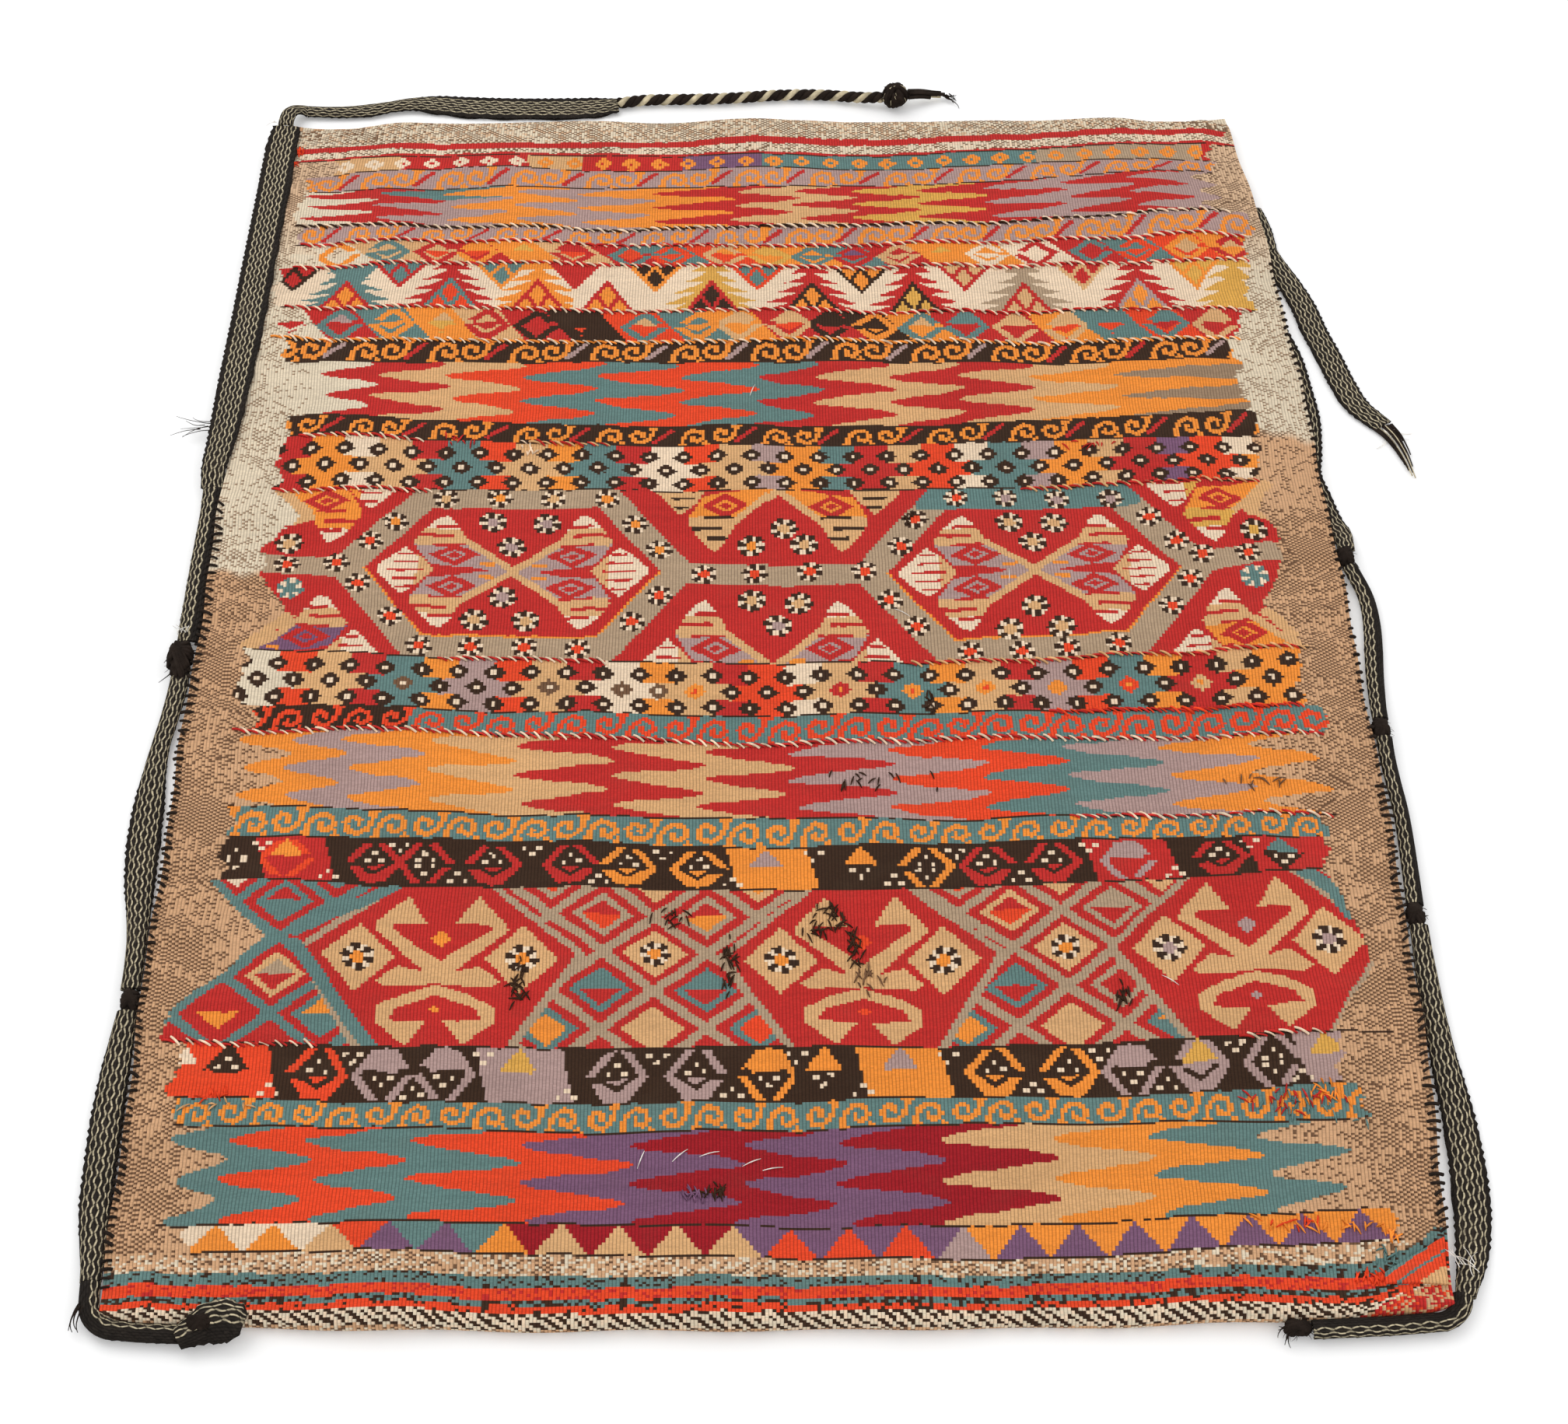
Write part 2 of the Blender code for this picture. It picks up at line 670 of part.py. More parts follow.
def braid(route, swing):
    """The round braided stretch of the left tie, with a round start to swing on."""
    half = BRAID_DIAMETER / 2
    sampled = with_round_stations(smooth_route(route, STATION_PITCH), half)
    curve = bpy.data.curves.new("left_tie_braid", "CURVE")
    curve.dimensions = "3D"
    curve.bevel_depth = half
    curve.bevel_resolution = BRAID_SIDES
    curve.use_fill_caps = True
    spline = curve.splines.new("POLY")
    spline.points.add(len(sampled) - 1)
    start = sampled[0][0]
    for place, (point, _) in zip(spline.points, sampled):
        place.co = (*point, 1.0)
        place.radius = max(rounded_start((point - start).length, half), ROUND_LEAST_SHARE)
    ob = bpy.data.objects.new("left_tie_braid", curve)
    bpy.context.scene.collection.objects.link(ob)
    finish(ob, BAND_MIXED)
    hang(ob, swing)
    return ob


def along_start(route, distance):
    """The point a given distance along a route's first stretch."""
    first, second = Vector(route[0]), Vector(route[1])
    return first + (second - first).normalized() * distance


def sack():
    """The cloth and the yarn that closes its sides."""
    back_panel()
    bottom_fold()
    side_seam("left_side_seam", LEFT)
    side_seam("right_side_seam", RIGHT)
    seam_yarn("left_seam_yarn", LEFT, LEFT_YARN_FROM, LEFT_YARN_TO)
    seam_yarn("right_seam_yarn", RIGHT, RIGHT_YARN_FROM, RIGHT_YARN_TO)
    corner_patch()
    hinge = pivot("mouth_opening", (0.0, HINGE_Y + TOUCH, SACK_HEIGHT))
    hang(front_panel(), hinge)


def left_band():
    """The band on the left, from its tie end to the stub on the fold."""
    side_band(
        "left_sewn_band_upper",
        LEFT,
        LEFT_UPPER_BAND,
        LEFT_UPPER_WIDTH_SHARES,
        BAND_MIXED,
        roll_shares=LEFT_UPPER_ROLL_SHARES,
    )
    side_band("left_bunched_band", LEFT, LEFT_BUNCHED_BAND, LEFT_BUNCHED_WIDTH_SHARES, BAND_DARK)
    knot_y = MOUTH_Y - LEFT_KNOT_FROM_MOUTH
    knot_x = side_edge(LEFT, knot_y) - LEFT_KNOT_OUT
    knot("left_middle_knot", (knot_x, knot_y, LEFT_KNOT_RADII[2] + TOUCH), LEFT_KNOT_RADII, YARN_BLACK)
    tack_from_mouth = SACK_LENGTH - LEFT_LOWER_TACK_FROM_FOLD
    tack("left_lower_tack", LEFT, tack_from_mouth)
    side_band(
        "left_sewn_band_lower",
        LEFT,
        LEFT_LOWER_BAND,
        LEFT_LOWER_WIDTH_SHARES,
        BAND_MIXED,
        from_mouth=False,
    )
    share = LEFT_LOWER_WIDTH_SHARES[-1]
    corner_wrap("left_corner_wrap", LEFT, LEFT_WRAP_FROM_FOLD, LEFT_WRAP_REACH, share)
    stub_x = -SACK_WIDTH / 2 + LEFT_WRAP_REACH + LEFT_STUB_RADII[0] + TOUCH
    stub_y = fold_edge(stub_x) - LEFT_STUB_FORWARD
    knot("left_end_stub", (stub_x, stub_y, LEFT_STUB_HEIGHT), LEFT_STUB_RADII, BAND_DARK)
    corner_loop()
    left_tie()

    start = knot_y - LEFT_KNOT_RADII[1] - TOUCH
    end = MOUTH_Y - tack_from_mouth + TACK_RADII[1] + TOUCH
    route = laid_between(LEFT_LOOP_ROUTE, LEFT, start, end)
    lift = loop_pivot("left_loop_lift", LEFT, LEFT_LOOP_AXIS, route)
    hang(band_solid("left_loop_band", route, LEFT_LOOP_SHARES, BAND_MIXED), lift)


def left_tie():
    """The left band's free end: flat, then braided, then knotted and frayed."""
    route = laid(LEFT_TIE_ROUTE, LEFT)
    swing = pivot("left_tie_swing", along_start(route, BAND_WIDTH * LEFT_TIE_SHARES[0] / 2))
    tie = band_solid("left_tie_band", route, LEFT_TIE_SHARES, BAND_MIXED, round_end=True)
    hang(tie, swing)
    cord_route = laid(LEFT_BRAID_ROUTE, LEFT)
    cord_swing = pivot("left_tie_cord_swing", along_start(cord_route, BRAID_DIAMETER / 2))
    hang(cord_swing, swing)
    braid(cord_route, cord_swing)
    centre = laid_point(TIE_KNOT_CENTRE, LEFT)
    hang(knot("left_tie_knot", centre, TIE_KNOT_RADII, YARN_BLACK), cord_swing)
    tail_route = laid(TIE_TAIL_ROUTE, LEFT)
    tail = band_solid("left_tie_tail", tail_route, TIE_TAIL_SHARES, YARN_BLACK, thickness=TAIL_THICKNESS)
    hang(tail, cord_swing)


def right_band():
    """The band on the right, from its frayed tie end to the stub on the fold."""
    side_band("right_band_head", RIGHT, RIGHT_HEAD_BAND, RIGHT_HEAD_WIDTH_SHARES, BAND_MIXED)
    side_band("right_sewn_band", RIGHT, RIGHT_SEWN_BAND, RIGHT_SEWN_WIDTH_SHARES, BAND_DARK)
    tack("right_upper_tack", RIGHT, RIGHT_UPPER_TACK_FROM_MOUTH)
    tack("right_middle_tack", RIGHT, RIGHT_MIDDLE_TACK_FROM_MOUTH)
    tack("right_lower_tack", RIGHT, RIGHT_LOWER_TACK_FROM_MOUTH)
    share = RIGHT_LOWER_LOOP_SHARES[-1]
    corner_wrap("right_corner_wrap", RIGHT, RIGHT_WRAP_FROM_FOLD, RIGHT_WRAP_REACH, share)
    stub_x = SACK_WIDTH / 2 - RIGHT_WRAP_REACH - RIGHT_STUB_RADII[0] - TOUCH
    stub_y = fold_edge(stub_x) - FOLD_OUT - TOUCH
    knot("right_end_stub", (stub_x, stub_y, TACK_HEIGHT), RIGHT_STUB_RADII, YARN_BLACK)

    route = laid(RIGHT_TIE_ROUTE, RIGHT)
    swing = pivot("right_tie_swing", along_start(route, BAND_WIDTH * RIGHT_TIE_SHARES[0] / 2))
    tie = band_solid("right_tie_band", route, RIGHT_TIE_SHARES, BAND_MIXED, round_end=True)
    hang(tie, swing)
    fringe_route = laid(FRINGE_ROUTE, RIGHT)
    fringe = band_solid(
        "right_tie_fringe", fringe_route, FRINGE_SHARES, YARN_BLACK, thickness=FRINGE_THICKNESS
    )
    hang(fringe, swing)
    right_loops()


def right_loops():
    """The three loops that the right band hangs in between its tacks."""
    past = TACK_RADII[1] + TOUCH
    upper = MOUTH_Y - RIGHT_UPPER_TACK_FROM_MOUTH
    middle = MOUTH_Y - RIGHT_MIDDLE_TACK_FROM_MOUTH
    lower = MOUTH_Y - RIGHT_LOWER_TACK_FROM_MOUTH
    wrap = FOLD_Y + RIGHT_WRAP_FROM_FOLD + TOUCH
    loops = {
        "upper": (RIGHT_UPPER_LOOP_AXIS, RIGHT_UPPER_LOOP_ROUTE, RIGHT_UPPER_LOOP_SHARES),
        "middle": (RIGHT_MIDDLE_LOOP_AXIS, RIGHT_MIDDLE_LOOP_ROUTE, RIGHT_MIDDLE_LOOP_SHARES),
        "lower": (RIGHT_LOWER_LOOP_AXIS, RIGHT_LOWER_LOOP_ROUTE, RIGHT_LOWER_LOOP_SHARES),
    }
    ends = {
        "upper": (upper - past, middle + past),
        "middle": (middle - past, lower + past),
        "lower": (lower - past, wrap),
    }
    for place, (axis, points, shares) in loops.items():
        start, end = ends[place]
        route = laid_between(points, RIGHT, start, end)
        lift = loop_pivot(f"right_{place}_loop_lift", RIGHT, axis, route)
        hang(band_solid(f"right_loop_{place}", route, shares, BAND_MIXED), lift)


clear_scene()
sack()
left_band()
right_band()
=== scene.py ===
"""Looks of a flat-woven grain sack that lies empty on the floor, with a carrying band along each side.

Metres, +Z up. +Y points to the mouth, +X to the right of the patterned face.
"""

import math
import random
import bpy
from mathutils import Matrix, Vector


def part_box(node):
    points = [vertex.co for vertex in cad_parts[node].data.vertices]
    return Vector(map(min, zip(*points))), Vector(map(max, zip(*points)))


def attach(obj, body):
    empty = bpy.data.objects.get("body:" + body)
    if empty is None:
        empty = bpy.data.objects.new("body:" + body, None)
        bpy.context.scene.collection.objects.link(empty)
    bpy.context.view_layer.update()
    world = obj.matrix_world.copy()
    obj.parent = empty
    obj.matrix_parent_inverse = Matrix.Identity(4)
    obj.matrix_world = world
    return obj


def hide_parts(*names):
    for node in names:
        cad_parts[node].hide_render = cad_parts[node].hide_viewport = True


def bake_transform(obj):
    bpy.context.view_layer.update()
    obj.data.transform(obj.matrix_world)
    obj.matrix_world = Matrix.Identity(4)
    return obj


bl_info = {
    "name": "Flat-woven sack",
    "version": (1, 0, 0),
    "blender": (4, 5, 0),
    "location": "3D View > Sidebar > Sack",
    "description": "Dresses the model of a flat-woven sack: cloth, bands, stitches and mends",
    "category": "Object",
}

import bmesh
import bpy
import numpy as np
from bpy.props import FloatProperty, FloatVectorProperty, IntProperty, PointerProperty
from mathutils import Matrix, Vector

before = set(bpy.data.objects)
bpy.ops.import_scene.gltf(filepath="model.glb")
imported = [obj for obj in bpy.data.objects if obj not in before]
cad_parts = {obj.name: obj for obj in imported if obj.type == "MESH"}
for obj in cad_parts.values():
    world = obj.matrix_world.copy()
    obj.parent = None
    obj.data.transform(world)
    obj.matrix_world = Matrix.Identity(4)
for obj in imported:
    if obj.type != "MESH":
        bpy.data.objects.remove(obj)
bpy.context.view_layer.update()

LEFT, RIGHT = -1, 1
HALF_WIDTH = 0.400
HALF_LENGTH = 0.570
SIDE_BOW = {LEFT: 0.008, RIGHT: 0.021}
FOLD_BOW = 0.008
HINGE_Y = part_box("front_panel")[0].y
FRONT_MOUTH_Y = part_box("front_panel")[1].y
CLOTH_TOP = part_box("front_panel")[1].z
EDGE_BOTTOM, EDGE_TOP = 0.0056, 0.0091
SEAM_WIDTH = 0.045


def linear(channel):
    """One sRGB channel, 0 to 255, as scene-linear."""
    share = channel / 255.0
    return share / 12.92 if share <= 0.04045 else ((share + 0.055) / 1.055) ** 2.4


def dye(code):
    """A colour written as RRGGBB, as scene-linear."""
    return tuple(linear(int(code[i : i + 2], 16)) for i in (0, 2, 4))


def colour_property(name, code, about):
    """A colour that the user can set."""
    return FloatVectorProperty(
        name=name, description=about, subtype="COLOR", size=3, min=0.0, max=1.0, default=dye(code)
    )


def length_property(name, default, about):
    """A length that the user can set."""
    return FloatProperty(name=name, description=about, default=default, subtype="DISTANCE", unit="LENGTH")


class YarnColours(bpy.types.PropertyGroup):
    """The dyed and undyed wool of the sack."""

    crimson: colour_property("Crimson", "C4302C", "Madder red of the fields")
    deep: colour_property("Deep crimson", "A01E26", "Darker madder red")
    red: colour_property("Orange red", "EC4A28", "Bright orange red")
    orange: colour_property("Orange", "F5923A", "Orange")
    ochre: colour_property("Ochre", "DFA850", "Dull yellow")
    beige: colour_property("Beige", "DDAC78", "Undyed beige")
    cream: colour_property("Cream", "F0D6B8", "Bleached white")
    teal: colour_property("Teal", "64827E", "Blue green")
    black: colour_property("Brown black", "3C291D", "Dark natural wool")
    grey: colour_property("Grey lilac", "B2948E", "Faded lilac")
    purple: colour_property("Purple", "7C5874", "Purple")
    taupe: colour_property("Taupe", "B49A7E", "Grey beige")
    tan: colour_property("Tan", "D4A67E", "Light brown of the plain margins")
    straw: colour_property("Straw", "E4D3B8", "Pale wool of the plain margins")
    umber: colour_property("Umber", "74553E", "Dark speckle of the plain margins")
    night: colour_property("Band black", "2B2622", "Goat hair of the carrying bands")
    linen: colour_property("Band cream", "D2C4A4", "Pale yarn of the carrying bands")


YARNS = "CDROYBWTKGPAMSUNL"
YARN_NAMES = (
    "crimson deep red orange ochre beige cream teal black "
    "grey purple taupe tan straw umber night linen"
).split()


class ClothSettings(bpy.types.PropertyGroup):
    """Sizes of the woven cloth."""

    rib: length_property("Rib", 0.0022, "Distance between warp ribs")
    row: length_property("Row", 0.0016, "Height of one step of the pattern")
    thickness: length_property("Thickness", 0.0026, "Thickness of one layer")
    edge_thickness: length_property("Edge thickness", 0.0017, "Thickness of a layer at the sewn edge")
    swell: length_property("Swell", 0.0015, "How far the cloth rises and falls")
    pucker: length_property("Pucker", 0.0016, "Depth of the creases along the sewn edges")
    rib_relief: length_property("Rib relief", 0.0006, "Depth of the grooves between ribs")
    seed: IntProperty(name="Seed", description="Seed of the uneven weave", default=11)


class BandSettings(bpy.types.PropertyGroup):
    """Sizes of the carrying bands."""

    width: length_property("Width", 0.028, "Width of the flat band")
    thickness: length_property("Thickness", 0.0024, "Thickness of the flat band")
    braid: length_property("Braid", 0.010, "Diameter of the braided stretch")
    yarn: length_property("Yarn", 0.0011, "Diameter of the sewing yarn")
    stitch: length_property("Stitch pitch", 0.0085, "Distance between overcast stitches")
    columns: IntProperty(name="Columns", description="Warp columns across a band", default=14, min=6)


class StageSettings(bpy.types.PropertyGroup):
    """Camera and light."""

    lens: FloatProperty(name="Lens", description="Focal length in mm", default=63.04, unit="CAMERA")
    key: FloatProperty(name="Key light", description="Power of the large lamp", default=24.0)
    fill: FloatProperty(name="Fill light", description="Power of the second lamp", default=10.0)
    sky: FloatProperty(name="Sky", description="Strength of the even light", default=0.80)


def settings(kind):
    """The scene's settings of one kind: yarns, cloth, bands or stage."""
    return getattr(bpy.context.scene, f"sack_{kind}")


# Pattern of the front, woven cell by cell. Lengths here are millimetres on the flat cloth.

RIB, ROW = 2.2, 1.6
STATIONS = (-360, -240, -120, 0, 120, 240, 360)
HASH_STEPS = (127.1, 311.7)
HASH_SCALE = 43758.5453


def code(letter):
    """Number of a yarn."""
    return YARNS.index(letter)


def pick(letters, index):
    """Yarn of each place in a row of colours."""
    codes = np.array([code(c) for c in letters])
    return codes[np.clip(index, 0, len(codes) - 1).astype(int)]


def dress(out, where, letters, index):
    """Give the places found their yarn from a row of colours."""
    out[where] = pick(letters, index)[where]


def hashed(*numbers):
    """An even random share for each set of whole numbers."""
    total = sum(np.asarray(n, float) * k for n, k in zip(numbers, HASH_STEPS))
    value = np.sin(total) * HASH_SCALE
    return value - np.floor(value)


def cell_numbers(x, v):
    """Number of the rib and of the row of each place."""
    return np.floor(x / RIB), np.floor(v / ROW)


def drift(x, seed, length):
    """A slow wave from -1 to 1 along x, different for each seed."""
    turn = 2 * math.pi * x / length
    return 0.6 * np.sin(turn + seed * 1.7) + 0.4 * np.sin(2.3 * turn + seed * 2.9)


def near_line(u, v, points, reach):
    """Whether each place lies within reach of a broken line."""
    found = np.full(u.shape, False)
    for (x0, y0), (x1, y1) in zip(points, points[1:]):
        dx, dy = x1 - x0, y1 - y0
        along = np.clip(((u - x0) * dx + (v - y0) * dy) / (dx * dx + dy * dy), 0, 1)
        found |= np.hypot(u - x0 - along * dx, v - y0 - along * dy) < reach
    return found


def within(u, v, points):
    """Whether each place lies inside a closed outline."""
    found = np.full(u.shape, False)
    for (x0, y0), (x1, y1) in zip(points, points[1:] + points[:1]):
        if y0 == y1:
            continue
        crossed = (v >= min(y0, y1)) & (v < max(y0, y1))
        found ^= crossed & (u < x0 + (v - y0) * (x1 - x0) / (y1 - y0))
    return found


def nearest(x, centres):
    """Number of the nearest centre."""
    return np.searchsorted([(a + b) / 2 for a, b in zip(centres, centres[1:])], x)


# Every kind of band takes x, the height v above its lower edge, the whole height h and the share t of it.
# Its own values follow.

def stripe(x, v, h, t, yarn, speckle="", share=0.0):
    """One stripe, plain or with a few threads of another colour."""
    out = np.full(x.shape, code(yarn))
    if speckle:
        out[hashed(*cell_numbers(x, v)) < share] = code(speckle)
    return out


def tabby(x, v, h, t, light, dark, share):
    """Plain weave of light and dark threads."""
    i, j = cell_numbers(x, v)
    patch = 0.75 + 0.35 * drift(x + 1.3 * v, 3.0, 90)
    dots = (np.mod(i + j, 2) == 0) & (hashed(i, j) < share * patch)
    return np.where(dots, code(dark), pick(light, hashed(i + 9, j) * len(light)))


def twill(x, v, h, t, light, dark):
    """Light and dark threads in slanting rows."""
    i, j = cell_numbers(x, v)
    slant = np.mod(i + j, 4) < 2
    return np.where(slant & (hashed(i, j) < 0.85), code(dark), pick(light, hashed(i + 9, j) * len(light)))


def wave(place, power=1.8):
    """0 at whole numbers and 1 halfway between, with blunt ends."""
    z = 1 - 4 * np.abs(place - np.floor(place) - 0.5)
    return 0.5 + 0.5 * np.sign(z) * (1 - (1 - np.abs(z)) ** power)


def flame(x, v, h, t, colours, tips, teeth, first, swap=None):
    """Colours that bite into each other with long teeth. tips says where each colour begins on the left."""
    place = (t - first) * teeth
    share = wave(place)
    total = np.zeros(x.shape, int)
    for k in range(len(colours) - 1):
        left = (hashed(np.floor(place + 0.5), k) - 0.5) * (1 - share)
        right = (hashed(np.floor(place) + 50, k) - 0.5) * share
        total += x > tips[k] + (tips[k + 1] - tips[k]) * share + 9 * (left + right)
    out = pick(colours, total)
    if swap:
        out[(total == swap[0]) & (t > swap[2])] = code(swap[1])
    return out


CANE = ((-11, 1), (-10, 8), (-7, 15), (-1, 19.5), (6, 17.5), (8.2, 11), (4, 5.8), (-1.5, 7.5), (-1, 11.5))
CANE_REACH = 2.05
# Feet of the rising and of the hanging hook: middle, half width and taper
CANE_FEET = (((-10.5, 4.8, 0.55), (9.5, 4.4, 0.62)), ((-10.5, 5.2, 0.6),))
HOOK_HEIGHT = 24.0


def scroll(x, v, h, t, ground, figure, start, period, slashes="", turn=0):
    """Running hooks, one rising and one hanging, with a slanting dash after each pair if wanted."""
    size = h / HOOK_HEIGHT
    places = (0.38, 0.74) if slashes else (0.25, 0.75)
    number = np.floor((x - start) / period)
    u = np.mod(x - start, period)
    out = pick(ground, x > turn)
    made = np.full(x.shape, False)
    for place, sign, low, feet in zip(places, (1, -1), (v, h - v), CANE_FEET):
        for shift in (-1, 0, 1):
            du, dv = sign * (u - (place + shift) * period) / size, low / size
            made |= near_line(du, dv, CANE, CANE_REACH)
            for middle, wide, taper in feet:
                made |= np.abs(du - middle) < wide - taper * dv
    out[made] = code(figure)
    if slashes:
        for shift in (0, period):
            dash = near_line(u - shift, v, ((-7, 0.22 * h), (7, 0.84 * h)), 0.085 * h)
            dress(out, dash & ~made, slashes, np.mod(number + shift / period, len(slashes)))
    return out


def marked(letters, index):
    """Whether the yarn of each place is the dark one."""
    return pick(letters, index) == code("K")


EYE_HOOK = ((-0.44, -0.16), (0.0, -0.52), (0.52, -0.06))


def eyes(x, v, h, t, centres, rings, uppers, lowers, grounds, reach=(19.5, 17), marks=False):
    """Six-sided eyes with a ring, an upper and a lower half, on blocks of colour."""
    slide, slope, core_size = (9, 0.62, 0.70) if marks else (26, 0.82, 0.60)
    out = pick(grounds, nearest(x + slide * (t - 0.5), centres))
    index = nearest(x, centres)
    middle = np.array(centres)[index]
    lean = np.where(index % 2 == 0, 1, -1)
    du, dv = (x - middle) / reach[0], (v - h / 2) / reach[1]
    shape = np.abs(du) + slope * np.abs(dv)
    ring = (shape < 1) & (np.abs(dv) < 1)
    dress(out, ring, rings, index)
    core = shape < core_size
    split = np.where(marked(uppers, index), -0.14, 0.14)
    above = dv > split + 0.10 * du * lean
    dress(out, core & above, uppers, index)
    dress(out, core & ~above, lowers, index)
    gate = ring & (np.abs(dv - split) < 0.13) & (du * lean < -0.5)
    dress(out, gate, grounds, index)
    hook = near_line(du * lean, dv, EYE_HOOK, 0.085)
    dress(out, hook & core & ~marked(lowers, index), grounds, index)
    if marks:
        for cx, cy in eye_marks(h, centres, uppers, lowers, grounds):
            out[(np.abs(x - cx) < 1.8) & (np.abs(v - cy) < 1.6)] = code("W")
    return out


def eye_marks(h, centres, uppers, lowers, grounds):
    """Places of the small pale marks, on the dark halves and on the dark ground between the eyes."""
    spots = []
    for number, centre in enumerate(centres):
        sides = [s for s, row in ((1, uppers), (-1, lowers)) if row[min(number, len(row) - 1)] == "K"]
        for s in sides:
            spots += [(centre, h / 2 + 8 * s), (centre - 5, h / 2 + 2 * s), (centre + 5, h / 2 + 2 * s)]
    for number, (a, b) in enumerate(zip(centres, centres[1:])):
        if "K" not in (grounds[number], grounds[min(number + 1, len(grounds) - 1)]):
            continue
        c, (low, far) = (a + b) / 2, ((4.5, 10) if number % 2 else (h - 4.5, h - 10))
        spots += [(c - 5, low), (c + 5, low), (c, far)]
    return spots


def serrated(x, v, h, t, hanging, rising, feathers):
    """A white zigzag with saw-like edges between triangles that hold a lattice."""
    out = np.full(x.shape, code("W"))
    steps = np.mod(v + 3, 12.5) / 12.5
    low_centres = [c for c, _, _ in rising]
    near = nearest(x, low_centres)
    away = np.abs(x - np.array(low_centres)[near]) - 22 * np.clip(1 - v / 38, 0, 1)
    zone = away < np.where(v < 40, 3 + 17 * (1 - steps), 3 + 13 * (1 - steps))
    dress(out, zone, feathers, near)
    for centres, up in ((hanging, False), (rising, True)):
        for centre, rim, fill in centres:
            u, w = np.abs(x - centre), (v if up else h - v)
            deep = 37 if up else 32
            edge = 22 * (1 - w / deep) - u
            inner = edge > 0
            out[inner] = code(fill)
            lattice = (edge < 4.2) | (np.abs(u - 17.6 * w / deep) < 2.0)
            out[inner & lattice] = code(rim)
    return out


def checker(x, v, h, t, start, pitch, colours, rings="K", hearts="W"):
    """Spool-shaped blocks with dark flowers in three staggered rows."""
    place = (x - start) / pitch
    middle = np.abs(t - 0.46) < 0.15
    spread = 2 * np.floor((place - 0.5) / 2) + 1
    out = pick(colours, np.where(middle, spread, np.floor(place)))
    rows = ((0.17, 0.0, "K", "W"), (0.47, 0.5, rings, hearts), (0.76, 0.0, "K", "W"))
    for share, shift, dark, pale in rows:
        number = np.floor(place - shift + 0.5)
        du = np.abs(place - shift - number) * pitch
        dv = np.abs(t - share) * h
        flower = (du / 8.2 + dv / 7.6 < 1) | (np.maximum(du, dv) < 4.9)
        dress(out, flower, dark, np.mod(number, len(dark)))
        dress(out, (du < 1.9) & (dv < 1.9), pale, np.mod(number, len(pale)))
    return out


def bloom(out, x, v, centre, size, heart, dark="K", petals=6):
    """A round flower of dark and white petals."""
    u, w = x - centre[0], v - centre[1]
    reach = np.hypot(u, w)
    turn = np.cos(petals * (np.arctan2(w, u) + math.pi / petals / 2))
    out[(reach < size) & (turn > -0.15) & (reach > size * 0.35)] = code(dark)
    out[(reach < size * 0.92) & (turn <= -0.15) & (reach > size * 0.35)] = code("W")
    out[reach <= size * 0.42] = code(heart)


LEAF = ((50, 57), (43, 49), (33, 30), (36, 25), (70, 25), (73, 30), (66, 42), (57, 53))
SIDE_LEAF = ((56, -2), (66, 12), (79, 24), (87, 16), (99, 3), (99, -2))
BLOCK = ((2, -1), (2, 5), (32, 27), (73, 27), (61, 7), (32, 3), (12, -1))


def leafy(out, x, v, middle, half, block, streak, lights, stretch=(1.0, 1.0)):
    """One half of a hexagon's filling: leaves with streaks, and a block with an eye."""
    u = np.abs(x - middle[0]) / stretch[0]
    w = (v - middle[1]) * half / stretch[1]
    mine = w > -0.5
    patch = mine & within(u, w, BLOCK)
    out[patch] = code(block)
    eye = np.abs(u - 43) / 19 + np.abs(w - 16) / 11
    out[mine & (eye < 1)] = code("C")
    out[mine & (eye < 0.52)] = code(block)
    out[mine & (eye < 0.30)] = code("C")
    out[mine & (np.abs(u - 19) < 5.5) & (np.abs(w - 6.5) < 1.9)] = code("O")
    out[mine & near_line(u, w, ((0, 1), (34, 29)), 3.0)] = code("B")
    leaf = mine & within(u, w, LEAF)
    out[leaf] = np.where(w > 43, code(lights[0]), code(lights[1]))[leaf]
    lines = (np.abs(w - 36) < 1.7) & (u > 44)
    lines |= (np.abs(w - 45) < 1.6) & (u < 58)
    lines |= (w < 27.5) & (u < 60)
    out[leaf & lines] = code(streak)
    side = mine & within(u, w, SIDE_LEAF)
    out[side] = np.where(u > 70, code(lights[0]), code(lights[1]))[side]
    lines = (np.abs(np.mod(w + 4.2, 8.4) - 4.2) < 1.1) & (np.abs(u - 78) < 3 + 0.4 * np.abs(24 - w))
    out[side & lines] = code(streak)


MEDALLION_FLOWERS = (
    (-240, 160, "B"), (-200, 161, "O"), (-160, 160, "B"), (-120, 159, "O"), (-98, 133, "O"), (-80, 108, "O"),
    (-250, 11, "R"), (-213, 11, "R"), (-175, 12, "R"), (-137, 11, "R"), (-99, 38, "R"), (-79, 63, "R"),
    (-275, 136, "O"), (-292, 114, "R"), (-298, 70, "R"), (-272, 39, "R"), (-47, 84, "R"), (-10, 86, "R"),
    (30, 88, "R"), (70, 88, "R"), (-352, 88, "R"), (-316, 90, "R"), (141, 162, "R"), (178, 162, "G"),
    (217, 160, "G"), (257, 158, "G"), (285, 137, "R"), (303, 112, "R"), (320, 97, "R"), (110, 140, "R"),
    (98, 113, "R"), (88, 60, "R"), (106, 36, "R"), (143, 10, "R"), (180, 9, "R"), (213, 10, "R"),
    (250, 11, "R"), (293, 48, "R"), (309, 74, "R"), (355, 97, "R"),
)
